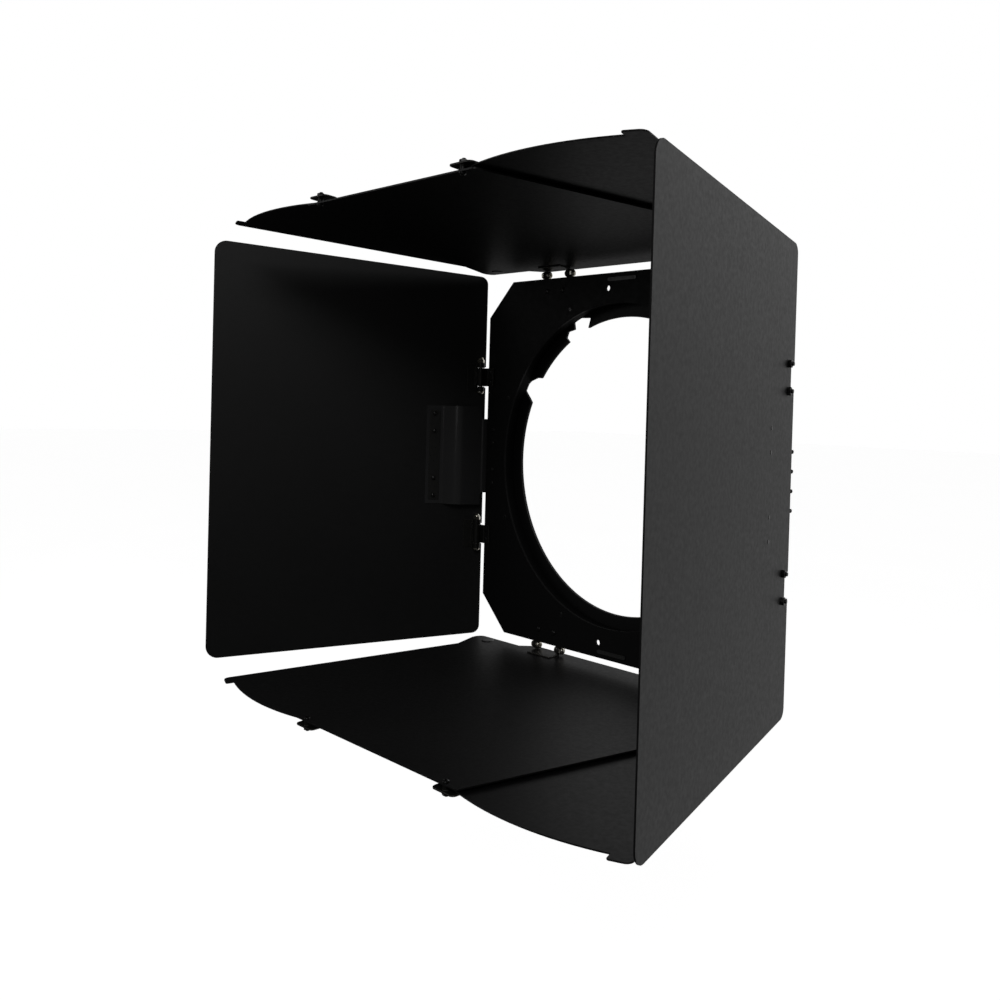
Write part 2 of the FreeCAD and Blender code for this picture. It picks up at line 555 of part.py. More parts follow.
washers = []
for sx in (-1, 1):
    for sz in (1, -1):
        bolt_set("z", False, "tongue_half + fork_gap + fork_ear", V(sx * g("side_axis_x"), -g("side_axis_front"), sz * g("hinge_offset")))
        # the cross hinges have one short bolt through each pair of ears, heads inward
        mid = g("ear_in") + g("ear_thick") + g("ear_gap") / 2
        for s in (-1, 1):
            bolt_set("x", s < 0, "ear_thick + ear_gap / 2", V(sx * g("hinge_offset") + s * mid, g("cross_axis_back"), sz * g("cross_axis_z")),
                     "low_acorn_high", "low_acorn_dome")
keep(group(bolts), "hinge_bolts", ROOT)
keep(group(acorns), "hinge_acorn_nuts", ROOT)
keep(group(washers), "hinge_washers", ROOT)


# ---------------------------------------------------------------- side leaves
def stud_and_nut(x, l, inner):
    """A clinched stud through a leaf with its plain nut on the outer face; leaf coordinates."""
    stud = cyl("stud_rad", "z", x, l, "-(%s)" % inner, "(%s) + leaf_thick + nut_high + stud_tail" % inner)
    nut = cut(hexagon("nut_flats", "z", x, l, "leaf_thick", "nut_high"), [cyl("stud_rad + hole_gap", "z", x, l, "leaf_thick - 0.5", "nut_high + 1")])
    return stud, nut


# back line of the seal strip: distance along the leaf, height off its inner face
SEAL = [(56.0, 0.0), (41.0, 0.0), (38.6, 0.5), (36.0, 2.5), (33.0, 5.2), (29.5, 7.2), (25.5, 8.3), (21.0, 8.6), (15.0, 8.3), (9.0, 7.7), (3.2, 6.8)]


def offset_line(points, t):
    """The same polyline moved sideways by t, away from the leaf."""
    out = []
    for i, p in enumerate(points):
        a = points[max(i - 1, 0)]
        b = points[min(i + 1, len(points) - 1)]
        dx, dy = b[0] - a[0], b[1] - a[1]
        n = math.hypot(dx, dy)
        out.append((p[0] + dy / n * t, p[1] - dx / n * t))
    return out


for side, sign, flare in (("left", -1, "left_flare"), ("right", 1, "right_flare")):
    place = side_frame(sign, g(flare))
    r, f, n = "side_rear_half", "side_front_half", "side_len"
    e = "-rear_extra"
    pts = [("-" + r, e)]
    for s in ("-", ""):
        pts += [("%shinge_offset - notch_half" % s, e), ("%shinge_offset - notch_half" % s, "notch_deep"),
                ("%shinge_offset + notch_half" % s, "notch_deep"), ("%shinge_offset + notch_half" % s, e)]
    pts += [(r, e), (f, n), ("-" + f, n)]
    leaf = padded_body(side + "_sheet", pts, "leaf_thick")
    round_corners(leaf, [(f, n), ("-" + f, n)], "side_round_front")
    round_corners(leaf, [(r, e), ("-" + r, e)], "side_round_rear")
    holes = []
    for s in ("-", ""):
        for off in ("- 10", "+ 10"):
            holes.append(("%shinge_offset %s" % (s, off), "side_reach + 8", "stud_rad + hole_gap"))
    for x in ("-40", "-23", "23", "40"):
        holes.append((x, "clamp_l + clamp_wide / 2", "clamp_rivet_rad + hole_gap"))
    drill(leaf, holes)
    keep(leaf, side + "_leaf", place)
    nuts = []
    for level, s in (("upper", ""), ("lower", "-")):
        # local X is the object's Z on the right leaf and -Z on the left leaf
        flip = {"": "-", "-": ""}[s] if sign < 0 else s
        xc = "%shinge_offset" % flip
        half = "tongue_half + fork_gap + fork_ear"
        solids = [box("%s - (%s)" % (xc, half), "%s + %s" % (xc, half), "side_reach + 2.7", "side_reach + 12.6", "-side_inset", "-side_inset + strap_thick")]
        solids[0] = box("%s - (%s)" % (xc, half), "%s + %s" % (xc, half), "side_reach + 2.7", "side_reach + 12.6", "-strap_thick", "0")
        for a, b in (("%s - (%s)" % (xc, half), "%s - tongue_half - fork_gap" % xc), ("%s + tongue_half + fork_gap" % xc, "%s + %s" % (xc, half))):
            solids.append(box(a, b, "side_reach - knuckle_rad", "side_reach + 12.6", "-strap_thick", "0"))
            solids.append(box(a, b, "side_reach - knuckle_rad", "side_reach + knuckle_rad", "-side_inset", "0"))
            solids.append(cyl("knuckle_rad", "x", a, "side_reach", "-side_inset", "fork_ear"))
        solids.append(cyl("ridge_rad", "x", "%s - 10.5" % xc, "side_reach + 4.4", "-strap_thick + 0.1", "21"))
        studs = []
        for off in ("- 10", "+ 10"):
            stud, nut = stud_and_nut("%s %s" % (xc, off), "side_reach + 8", "strap_thick")
            studs.append(stud)
            nuts.append(nut)
        bore = cyl("pin_rad + pin_gap", "x", "%s - 20" % xc, "side_reach", "-side_inset", "40")
        keep(cut(fuse(solids + studs), [bore]), "%s_%s_hinge_fork" % (side, level), place)
    keep(group(nuts), side + "_hinge_nuts", place)
    # light seal, a curved springy strip, with its clamp bar and rivets
    inner = [(str(l), "-(%s)" % e) for l, e in SEAL]
    outer = [("%.6f" % l, "-(%.6f) - 0" % e) for l, e in offset_line(SEAL, g("seal_thick"))]
    strip = padded_body(side + "_strip", inner + outer[::-1], "2 * seal_half", role="YZ_Plane", symmetric=True)
    tools = [cyl("clamp_rivet_rad + hole_gap", "z", x, "clamp_l + clamp_wide / 2", "-3", "4") for x in ("-40", "-23", "23", "40")]
    keep(cut(strip, tools), side + "_seal_strip", place)
    bar = box("-clamp_half", "clamp_half", "clamp_l", "clamp_l + clamp_wide", "-seal_thick - clamp_thick", "-seal_thick")
    tools = [cyl("clamp_rivet_rad + hole_gap", "z", x, "clamp_l + clamp_wide / 2", "-5", "6") for x in ("-40", "-23", "23", "40")]
    keep(cut(bar, tools), side + "_seal_clamp", place)
    rv = []
    for x in ("-40", "-23", "23", "40"):
        rv.append(fuse([cyl("clamp_rivet_rad", "z", x, "clamp_l + clamp_wide / 2", "-seal_thick - clamp_thick - 0.3", "seal_thick + clamp_thick + leaf_thick + 0.3"),
                        dome("clamp_rivet_head", "1.2", "z", -1, x, "clamp_l + clamp_wide / 2", "-seal_thick - clamp_thick")]))
    keep(group(rv), side + "_clamp_rivets", place)


# ---------------------------------------------------------------- cross leaves: centre panel, wings, clips
def wing_shape(s, stem):
    """A wing about its own pivot: s is the sign of local x that points outboard."""
    od, tab, ind = math.radians(g("wing_outer_deg")), math.radians(g("wing_tab_deg")), math.radians(g("wing_inner_deg"))

    def pt(x, y):
        return ("%.9f" % (s * x), "%.9f" % y)

    def bound(x, y):
        """Outboard offset and reach written with the sheet's own names."""
        return ("%d * (%s)" % (s, x), y)

    co, so_ = math.cos(od), math.sin(od)
    ci, si = math.cos(ind), math.sin(ind)
    wedge = [bound("wing_offset * %.9f" % co, "-wing_offset * %.9f" % so_),
             bound("wing_offset * %.9f + 262 * %.9f" % (co, so_), "-wing_offset * %.9f + 262 * %.9f" % (so_, co)),
             bound("0", "262 + wing_offset"),
             bound("-wing_offset * %.9f - 262 * %.9f" % (ci, si), "-wing_offset * %.9f + 262 * %.9f" % (si, ci)),
             bound("-wing_offset * %.9f" % ci, "-wing_offset * %.9f" % si)]
    if s < 0:
        wedge = wedge[::-1]
    flat = padded_body(stem + "_wedge", wedge, "wing_thick")
    web = common(flat, cyl("wing_arc", "z", "0", "0", "-1", "wing_thick + 2"))
    ct, st = math.cos(tab), math.sin(tab)
    tabp = [bound("225 * %.9f" % st, "225 * %.9f" % ct), bound("wing_offset * %.9f + 222 * %.9f" % (co, so_), "-wing_offset * %.9f + 222 * %.9f" % (so_, co)),
            bound("wing_offset * %.9f + 256 * %.9f" % (co, so_), "-wing_offset * %.9f + 256 * %.9f" % (so_, co)), bound("257 * %.9f" % st, "257 * %.9f" % ct)]
    if s < 0:
        tabp = tabp[::-1]
    tab_flat = padded_body(stem + "_tab", tabp, "wing_thick")
    tab_web = common(tab_flat, cyl("wing_tab_arc", "z", "0", "0", "-1", "wing_thick + 2"))
    disc = cyl("wing_offset", "z", "0", "0", "0", "wing_thick")
    whole = fuse([web, tab_web, disc])
    doc.recompute()
    # round the free corners: the tab's two outer corners and the inboard end of the arc
    want = []
    rad_tab = g("wing_tab_arc")
    tip_deg = g("wing_outer_deg") + math.degrees(math.asin(g("wing_offset") / rad_tab))
    want.append((rad_tab * math.sin(tab), rad_tab * math.cos(tab), 2.0))
    want.append((rad_tab * math.sin(math.radians(tip_deg)), rad_tab * math.cos(math.radians(tip_deg)), 5.0))
    arc = g("wing_arc")
    in_deg = -g("wing_inner_deg") - math.degrees(math.asin(g("wing_offset") / arc))
    want.append((arc * math.sin(math.radians(in_deg)), arc * math.cos(math.radians(in_deg)), 12.0))
    rounding = doc.addObject("Part::Fillet", uid("wing_round"))
    rounding.Base = whole
    edges = []
    for wx, wy, wr in want:
        for i, e in enumerate(whole.Shape.Edges, start=1):
            if len(e.Vertexes) == 2:
                p, q = e.Vertexes[0].Point, e.Vertexes[-1].Point
                if math.hypot(p.x - q.x, p.y - q.y) < 1e-4 and math.hypot(p.x - s * wx, p.y - wy) < 0.3:
                    edges.append((i, wr, wr))
    if len(edges) != len(want):
        raise RuntimeError("wing corners not found: %d" % len(edges))
    rounding.Edges = edges
    doc.recompute()
    return cut(rounding, [cyl("pivot_rad + hole_gap", "z", "0", "0", "-1", "wing_thick + 2")])


WING_TURN = {("top", "left"): 0.0, ("top", "right"): 0.0, ("bottom", "left"): 0.0, ("bottom", "right"): 1.0}
for level, sign, flare in (("top", 1, "top_flare"), ("bottom", -1, "bottom_flare")):
    place = cross_frame(sign, g(flare))
    half_pts = [("panel_step_x", "-panel_rear_step"), ("panel_step_out", "panel_rear_l"), ("panel_rear_half", "panel_rear_l"),
                ("panel_rear_half", "panel_rear_l + 10"), ("panel_front_half", "panel_len")]
    pts = half_pts + [("-" + x, y) for x, y in half_pts[::-1]]
    panel = padded_body(level + "_sheet", pts, "leaf_thick")
    round_corners(panel, [("panel_rear_half", "panel_rear_l"), ("-panel_rear_half", "panel_rear_l")], "panel_round_rear")
    round_corners(panel, [("panel_front_half", "panel_len"), ("-panel_front_half", "panel_len")], "panel_round_front")
    holes = []
    for s in ("-", ""):
        for off in ("- 9", "+ 9"):
            holes.append(("%shinge_offset %s" % (s, off), "cross_reach + 8", "stud_rad + hole_gap"))
        holes.append(("%spivot_x" % s, "pivot_l", "pivot_rad + hole_gap"))
        holes.append(("%sclip_x" % s, "clip_screw_l", "stud_rad + hole_gap"))
    drill(panel, holes)
    keep(panel, level + "_panel", place)
    nuts, pivots, wash, clip_screws, clip_nuts = [], [], [], [], []
    for side in ("left", "right"):
        # local X is -X on the top leaf and +X on the bottom leaf
        s = (1 if side == "left" else -1) * (1 if level == "top" else -1)
        pre = "" if s > 0 else "-"
        xc = pre + "hinge_offset"
        half = "ear_in + ear_thick"
        solids = [box("%s - (%s)" % (xc, half), "%s + %s" % (xc, half), "cross_reach", "cross_reach + 13", "-strap_thick", "0")]
        for a, b in (("%s - (%s)" % (xc, half), "%s - ear_in" % xc), ("%s + ear_in" % xc, "%s + %s" % (xc, half))):
            solids.append(box(a, b, "cross_reach", "cross_reach + 3.2", "-cross_inset", "0"))
            solids.append(cyl("knuckle_rad", "x", a, "cross_reach", "-cross_inset", "ear_thick"))
        studs = []
        for off in ("- 9", "+ 9"):
            stud, nut = stud_and_nut("%s %s" % (xc, off), "cross_reach + 8", "strap_thick")
            studs.append(stud)
            nuts.append(nut)
        bore = cyl("pin_rad + pin_gap", "x", "%s - 20" % xc, "cross_reach", "-cross_inset", "40")
        keep(cut(fuse(solids + studs), [bore]), "%s_%s_hinge_tongue" % (level, side), place)
        # wing stack: the left wing runs next to the panel, the right wing one layer further out
        lift = "wing_low" if side == "left" else "wing_high"
        px, base = pre + "pivot_x", "leaf_thick + " + lift
        wash.append(cut(cyl("washer_rad", "z", px, "pivot_l", "leaf_thick", lift), [cyl("pivot_rad + hole_gap", "z", px, "pivot_l", "0", "8")]))
        wash.append(cut(cyl("washer_rad - 0.5", "z", px, "pivot_l", base + " + wing_thick", "wave_thick"), [cyl("pivot_rad + hole_gap", "z", px, "pivot_l", "0", "12")]))
        top = base + " + wing_thick + wave_thick"
        pivots.append(fuse([cyl("pivot_rad", "z", px, "pivot_l", "-0.3", top + " + 0.6"),
                            dome("pivot_head_rad", "pivot_head_high", "z", -1, px, "pivot_l", "0"),
                            dome("pivot_peen_rad", "pivot_peen_high", "z", 1, px, "pivot_l", top)]))
        wing = wing_shape(s, "%s_%s" % (level, side))
        turn = WING_TURN[(level, side)]
        local = FreeCAD.Placement(V(s * g("pivot_x"), g("pivot_l"), g("leaf_thick") + g(lift)), FreeCAD.Rotation(V(0, 0, 1), -s * turn))
        keep(wing, "%s_%s_wing" % (level, side), place.multiply(local))
        # guide clip at the panel's front corner: a round-cornered plate on a short spacer boss, with room for both wings under it
        cx = pre + "clip_x"
        corners = [cyl("clip_round", "z", "%s %s (clip_half - clip_round)" % (cx, m), l, "clip_clear", "clip_thick")
                   for m in ("-", "+") for l in ("clip_outer_l + clip_round", "clip_front_l - clip_round")]
        clip = fuse([box("%s - clip_half + clip_round" % cx, "%s + clip_half - clip_round" % cx, "clip_outer_l", "clip_front_l", "clip_clear", "clip_clear + clip_thick"),
                     box("%s - clip_half" % cx, "%s + clip_half" % cx, "clip_outer_l + clip_round", "clip_front_l - clip_round", "clip_clear", "clip_clear + clip_thick"),
                     cyl("clip_boss_rad", "z", cx, "clip_screw_l", "leaf_thick", "clip_clear - leaf_thick + 0.2")] + corners)
        keep(cut(clip, [cyl("stud_rad + hole_gap", "z", cx, "clip_screw_l", "-4", "12")]), "%s_%s_guide_clip" % (level, side), place)
        clip_screws.append(fuse([cyl("stud_rad", "z", cx, "clip_screw_l", "-0.4", "clip_thick + clip_clear + nut_high + 1.4"),
                                 cyl("2.75", "z", cx, "clip_screw_l", "-1.2", "1.2"),
                                 dome("2.75", "0.7", "z", -1, cx, "clip_screw_l", "-1.2")]))
        clip_nuts.append(cut(hexagon("nut_flats", "z", cx, "clip_screw_l", "clip_clear + clip_thick", "nut_high"),
                             [cyl("stud_rad + hole_gap", "z", cx, "clip_screw_l", "0", "14")]))
    keep(group(nuts + clip_nuts), level + "_nuts", place)
    keep(group(pivots), level + "_pivot_rivets", place)
    keep(group(wash), level + "_pivot_washers", place)
    keep(group(clip_screws), level + "_clip_screws", place)

doc.removeObject(probe.Name)
doc.recompute()
bad = [o.Label for o in doc.Objects if any(s in ("Invalid", "Error") for s in o.State)]
for o in NODES:
    if o.Shape.isNull() or not o.Shape.isValid() or not o.Shape.Solids:
        bad.append("shape of " + o.Label)
if bad:
    raise SystemExit("failed objects: " + ", ".join(bad))
if len({o.Label for o in NODES}) != len(NODES) or len(NODES) > 60:
    raise SystemExit("node names clash or too many nodes: %d" % len(NODES))
os.makedirs("parts", exist_ok=True)
for o in NODES:
    o.Shape.exportStep("parts/%s.step" % o.Label)
box_all = Part.makeCompound([o.Shape for o in NODES]).BoundBox
print("nodes", len(NODES), "box", [round(v, 1) for v in (box_all.XMin, box_all.YMin, box_all.ZMin, box_all.XMax, box_all.YMax, box_all.ZMax)])
for o in NODES:
    print("%-28s solids %2d volume %10.1f" % (o.Label, len(o.Shape.Solids), o.Shape.Volume))
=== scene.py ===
import json
import math
import random

import bmesh
import bpy
from mathutils import Matrix, Vector

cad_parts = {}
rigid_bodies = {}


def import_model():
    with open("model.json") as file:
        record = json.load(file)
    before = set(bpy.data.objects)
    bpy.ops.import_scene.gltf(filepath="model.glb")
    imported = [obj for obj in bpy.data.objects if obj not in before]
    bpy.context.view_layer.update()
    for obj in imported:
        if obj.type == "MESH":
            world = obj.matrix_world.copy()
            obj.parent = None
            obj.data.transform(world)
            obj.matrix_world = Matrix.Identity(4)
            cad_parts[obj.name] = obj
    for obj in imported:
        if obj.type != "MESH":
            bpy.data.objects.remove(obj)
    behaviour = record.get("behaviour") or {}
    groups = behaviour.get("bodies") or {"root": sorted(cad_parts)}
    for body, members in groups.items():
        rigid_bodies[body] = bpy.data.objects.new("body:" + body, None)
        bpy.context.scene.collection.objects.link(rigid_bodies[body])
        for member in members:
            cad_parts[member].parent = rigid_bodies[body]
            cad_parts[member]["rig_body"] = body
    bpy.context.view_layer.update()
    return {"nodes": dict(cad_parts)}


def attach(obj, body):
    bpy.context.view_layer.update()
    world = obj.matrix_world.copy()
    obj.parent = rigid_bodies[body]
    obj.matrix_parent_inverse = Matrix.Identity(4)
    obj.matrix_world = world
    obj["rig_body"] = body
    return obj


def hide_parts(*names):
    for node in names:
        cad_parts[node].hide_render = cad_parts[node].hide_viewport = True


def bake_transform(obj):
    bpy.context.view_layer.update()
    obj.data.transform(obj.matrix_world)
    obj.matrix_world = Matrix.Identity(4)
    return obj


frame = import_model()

scene = bpy.context.scene
NODES = frame["nodes"]
MM = 0.001

# ------------------------------------------------------------------ frames of the four leaves
SIDE_X, SIDE_F, CROSS_BACK, CROSS_Z, FRONT = 174.4, 4.4, 3.4, 171.3, -26.0
FLARE = {"left": 31.9, "right": 17.9, "top": 6.3, "bottom": 5.5}
HINGE = 76.8


def axes_matrix(x, y, z, origin):
    return Matrix(((x.x, y.x, z.x, origin.x), (x.y, y.y, z.y, origin.y), (x.z, y.z, z.z, origin.z), (0, 0, 0, 1)))


def side_frame(side):
    s = -1 if side == "left" else 1
    a = math.radians(FLARE[side])
    u = Vector((s * math.sin(a), -math.cos(a), 0))
    n = Vector((s * math.cos(a), math.sin(a), 0))
    o = Vector((s * SIDE_X, FRONT - SIDE_F, 0)) - u * 4.4 + n * 4.6
    return axes_matrix(u.cross(n), u, n, o)


def cross_frame(level):
    s = 1 if level == "top" else -1
    a = math.radians(FLARE[level])
    u = Vector((0, -math.cos(a), s * math.sin(a)))
    n = Vector((0, math.sin(a), s * math.cos(a)))
    o = Vector((0, FRONT + CROSS_BACK, s * CROSS_Z)) - u * 5.0 + n * 5.0
    return axes_matrix(u.cross(n), u, n, o)


LEAF = {k: side_frame(k) for k in ("left", "right")} | {k: cross_frame(k) for k in ("top", "bottom")}
ROOT = Matrix.Translation((0, FRONT, 0))
AXIS_TURN = {"z": Matrix.Identity(4), "x": Matrix.Rotation(math.radians(90), 4, "Y"), "y": Matrix.Rotation(math.radians(-90), 4, "X"),
             "-z": Matrix.Rotation(math.radians(180), 4, "X"), "-x": Matrix.Rotation(math.radians(-90), 4, "Y"), "-y": Matrix.Rotation(math.radians(90), 4, "X")}


def at(base, axis, x, y, z):
    """Matrix that puts a part built along +Z at a point of a frame, pointing along one of its axes."""
    return base @ Matrix.Translation((x, y, z)) @ AXIS_TURN[axis]


# ------------------------------------------------------------------ materials
def new_material(name):
    m = bpy.data.materials.new(name)
    m.use_nodes = True
    nt = m.node_tree
    nt.nodes.clear()
    out = nt.nodes.new("ShaderNodeOutputMaterial")
    bsdf = nt.nodes.new("ShaderNodeBsdfPrincipled")
    nt.links.new(bsdf.outputs[0], out.inputs[0])
    return m, nt, bsdf


def noise(nt, coord, scale, detail=2.0, rough=0.5, distortion=0.0):
    n = nt.nodes.new("ShaderNodeTexNoise")
    n.inputs["Scale"].default_value = scale
    n.inputs["Detail"].default_value = detail
    n.inputs["Roughness"].default_value = rough
    n.inputs["Distortion"].default_value = distortion
    nt.links.new(coord, n.inputs["Vector"])
    return n.outputs["Fac"]


def ramp(nt, fac, stops):
    r = nt.nodes.new("ShaderNodeValToRGB")
    els = r.color_ramp.elements
    while len(els) < len(stops):
        els.new(0.5)
    for e, (p, c) in zip(els, stops):
        e.position = p
        e.color = (*c, 1.0) if len(c) == 3 else c
    nt.links.new(fac, r.inputs[0])
    return r.outputs["Color"]


def remap(nt, fac, a, b, lo=0.3, hi=0.7):
    r = nt.nodes.new("ShaderNodeMapRange")
    r.inputs["From Min"].default_value = lo
    r.inputs["From Max"].default_value = hi
    r.inputs["To Min"].default_value = a
    r.inputs["To Max"].default_value = b
    nt.links.new(fac, r.inputs["Value"])
    return r.outputs[0]


def bump(nt, heights):
    """Chain of bump nodes: (height socket, strength, distance in metres)."""
    last = None
    for h, strength, dist in heights:
        b = nt.nodes.new("ShaderNodeBump")
        b.inputs["Strength"].default_value = strength
        b.inputs["Distance"].default_value = dist
        nt.links.new(h, b.inputs["Height"])
        if last is not None:
            nt.links.new(last, b.inputs["Normal"])
        last = b.outputs[0]
    return last


def mix_color(nt, fac, a, b, kind="MIX"):
    m = nt.nodes.new("ShaderNodeMix")
    m.data_type = "RGBA"
    m.blend_type = kind
    if isinstance(fac, float):
        m.inputs[0].default_value = fac
    else:
        nt.links.new(fac, m.inputs[0])
    for sock, val in ((m.inputs[6], a), (m.inputs[7], b)):
        if isinstance(val, tuple):
            sock.default_value = (*val, 1.0)
        else:
            nt.links.new(val, sock)
    return m.outputs[2]


def powder_coat(name, dark, light, rough=(0.40, 0.50), grain=1500.0, peel=0.00005, spec=0.5, speck=0.06, scuff=0.0):
    """Black powder coat: fine orange peel, faint clouding, sparse light flecks and, if asked, rubbed scuffs."""
    m, nt, bsdf = new_material(name)
    co = nt.nodes.new("ShaderNodeTexCoord").outputs["Object"]
    cloud = noise(nt, co, 9.0, 4.0, 0.6, 0.3)
    fine = noise(nt, co, grain, 2.0, 0.6)
    mid = noise(nt, co, grain * 0.22, 3.0, 0.55)
    base = ramp(nt, cloud, [(0.30, dark), (0.72, light)])
    flecks = ramp(nt, noise(nt, co, grain * 0.8, 1.0, 0.4), [(0.70, (0, 0, 0)), (0.78, (1, 1, 1))])
    col = mix_color(nt, remap(nt, flecks, 0.0, speck, 0.0, 1.0), base, tuple(min(1.0, c * 5.0 + 0.01) for c in light))
    r_sock = remap(nt, mid, rough[0], rough[1])
    if scuff:
        marks = ramp(nt, noise(nt, co, 38.0, 7.0, 0.72, 1.6), [(0.60, (0, 0, 0)), (0.70, (1, 1, 1))])
        col = mix_color(nt, remap(nt, marks, 0.0, scuff, 0.0, 1.0), col, tuple(min(1.0, c * 2.2 + 0.004) for c in light))
    nt.links.new(col, bsdf.inputs["Base Color"])
    nt.links.new(r_sock, bsdf.inputs["Roughness"])
    bsdf.inputs["Specular IOR Level"].default_value = spec
    nt.links.new(bump(nt, [(mid, 0.25, peel), (fine, 0.30, peel * 0.6)]), bsdf.inputs["Normal"])
    return m


def metal(name, dark, light, rough=(0.16, 0.34), grain=900.0, scratch=0.3):
    """Plated steel: bright where it is rubbed, darker in patches, with fine turning and handling marks."""
    m, nt, bsdf = new_material(name)
    co = nt.nodes.new("ShaderNodeTexCoord").outputs["Object"]
    patch = noise(nt, co, 420.0, 3.0, 0.6, 0.4)
    fine = noise(nt, co, grain * 4, 2.0, 0.6)
    col = ramp(nt, patch, [(0.35, dark), (0.62, light)])
    nt.links.new(col, bsdf.inputs["Base Color"])
    nt.links.new(remap(nt, patch, rough[1], rough[0]), bsdf.inputs["Roughness"])
    bsdf.inputs["Metallic"].default_value = 1.0
    nt.links.new(bump(nt, [(fine, scratch, 0.00002)]), bsdf.inputs["Normal"])
    return m


MAT = {
    "leaf": powder_coat("leaf_powder_coat", (0.0075, 0.0075, 0.0078), (0.0105, 0.0105, 0.0108), (0.40, 0.50), 1400.0, 0.00005, 0.5, 0.05),
    # Each edge coat below is a lighter copy of its finish for the rolled edge faces: the lighter tone is a painted
    # edge highlight, and its scuffs are rubbed wear.
    "leaf_edge": powder_coat("leaf_edge_painted_highlight_and_wear", (0.012, 0.012, 0.012), (0.026, 0.026, 0.025), (0.30, 0.46), 1800.0, 0.00003, 0.6, 0.10, 0.5),
    "frame": powder_coat("frame_powder_coat", (0.0036, 0.0036, 0.0037), (0.0052, 0.0052, 0.0054), (0.50, 0.62), 1300.0, 0.00006, 0.35, 0.05),
    "frame_edge": powder_coat("frame_edge_painted_highlight_and_wear", (0.010, 0.010, 0.010), (0.018, 0.018, 0.018), (0.34, 0.5), 1800.0, 0.00003, 0.5, 0.08, 0.4),
    # coat for the raised ribs on the frame plate: a painted highlight along them, with rubbed scuffs as wear
    "rib_painted_highlight": powder_coat("painted_rib_highlight_and_wear", (0.030, 0.030, 0.030), (0.060, 0.060, 0.058), (0.26, 0.40), 1800.0, 0.00003, 0.6, 0.08, 0.5),
    "ring": powder_coat("ring_black_anodise", (0.0042, 0.0042, 0.0043), (0.0064, 0.0064, 0.0066), (0.62, 0.74), 2400.0, 0.000025, 0.20, 0.03),
    "ring_edge": powder_coat("ring_edge_painted_highlight_and_wear", (0.010, 0.010, 0.010), (0.018, 0.018, 0.018), (0.40, 0.52), 2400.0, 0.00002, 0.35, 0.10, 0.4),
    "bayonet": powder_coat("bayonet_black_anodise", (0.0062, 0.0062, 0.0064), (0.0095, 0.0095, 0.0098), (0.46, 0.58), 2400.0, 0.000025, 0.4, 0.04),
    "bayonet_edge": powder_coat("bayonet_edge_painted_highlight_and_wear", (0.050, 0.050, 0.050), (0.095, 0.095, 0.092), (0.26, 0.38), 2400.0, 0.00002, 0.6, 0.10, 0.4),
    "hinge": powder_coat("hinge_black_oxide", (0.0085, 0.0084, 0.0075), (0.0150, 0.0147, 0.0128), (0.33, 0.48), 2600.0, 0.00003, 0.45, 0.12, 0.25),
    "hinge_edge": powder_coat("hinge_edge_painted_highlight_and_wear", (0.050, 0.049, 0.044), (0.120, 0.116, 0.102), (0.20, 0.34), 2600.0, 0.00002, 0.8, 0.2, 0.6),
    "clamp": powder_coat("clamp_black_oxide", (0.0190, 0.0190, 0.0185), (0.0310, 0.0308, 0.0290), (0.26, 0.40), 2600.0, 0.00003, 0.6, 0.10, 0.35),
    "clamp_edge": powder_coat("clamp_edge_painted_highlight_and_wear", (0.030, 0.030, 0.028), (0.060, 0.059, 0.055), (0.24, 0.36), 2600.0, 0.00002, 0.7, 0.15, 0.5),
    "fastener": powder_coat("fastener_black_zinc", (0.0060, 0.0060, 0.0060), (0.0120, 0.0120, 0.0115), (0.22, 0.36), 3000.0, 0.00002, 0.6, 0.12, 0.35),
    "seal": powder_coat("seal_spring_strip", (0.0380, 0.0380, 0.0390), (0.0500, 0.0500, 0.0513), (0.14, 0.21), 2000.0, 0.000012, 1.0, 0.02),
    "bright": metal("bright_zinc_plate", (0.50, 0.45, 0.34), (0.92, 0.90, 0.82), (0.16, 0.34)),
}


# ------------------------------------------------------------------ mesh helpers
def finish_mesh(bm, name, mats, smooth_deg=35.0):
    bmesh.ops.recalc_face_normals(bm, faces=bm.faces)
    me = bpy.data.meshes.new(name)
    bm.to_mesh(me)
    bm.free()
    for m in mats:
        me.materials.append(m)
    for p in me.polygons:
        p.use_smooth = True
    me.set_sharp_from_angle(angle=math.radians(smooth_deg))
    me.validate()
    o = bpy.data.objects.new(name, me)
    scene.collection.objects.link(o)
    return o


def weighted(o):
    w = o.modifiers.new("weighted", "WEIGHTED_NORMAL")
    w.keep_sharp = True
    w.weight = 60
    return o


def refine(node, width, mat, edge, segs=2, name=None, angle=28.0, merge=True):
    """A copy of a CAD piece with its triangles cleaned up and every sharp edge rolled over by a small radius."""
    src = NODES[node]
    bm = bmesh.new()
    bm.from_mesh(src.data)
    bmesh.ops.remove_doubles(bm, verts=bm.verts, dist=2e-6)
    bmesh.ops.dissolve_degenerate(bm, dist=1e-6, edges=bm.edges)
    if merge:
        bmesh.ops.dissolve_limit(bm, angle_limit=math.radians(0.6), verts=bm.verts, edges=bm.edges, delimit={"NORMAL"})
    lim = math.radians(angle)
    for f in bm.faces:
        f.material_index = 0
    edges = [e for e in bm.edges if len(e.link_faces) == 2 and e.calc_face_angle(0.0) > lim and e.calc_length() > 1e-5]
    # rolled edge faces take the second material, the lighter edge coat: a painted edge highlight with rubbed wear
    bmesh.ops.bevel(bm, geom=edges, offset=width, offset_type="OFFSET", segments=segs, profile=0.5, affect="EDGES",
                    clamp_overlap=True, material=1, loop_slide=True)
    bmesh.ops.remove_doubles(bm, verts=bm.verts, dist=1e-6)
    o = finish_mesh(bm, name or node + "_body", [MAT[mat], MAT[edge]], 40.0)
    weighted(o)
    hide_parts(node)
    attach(o, src["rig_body"])
    return o


GROUPS = {}


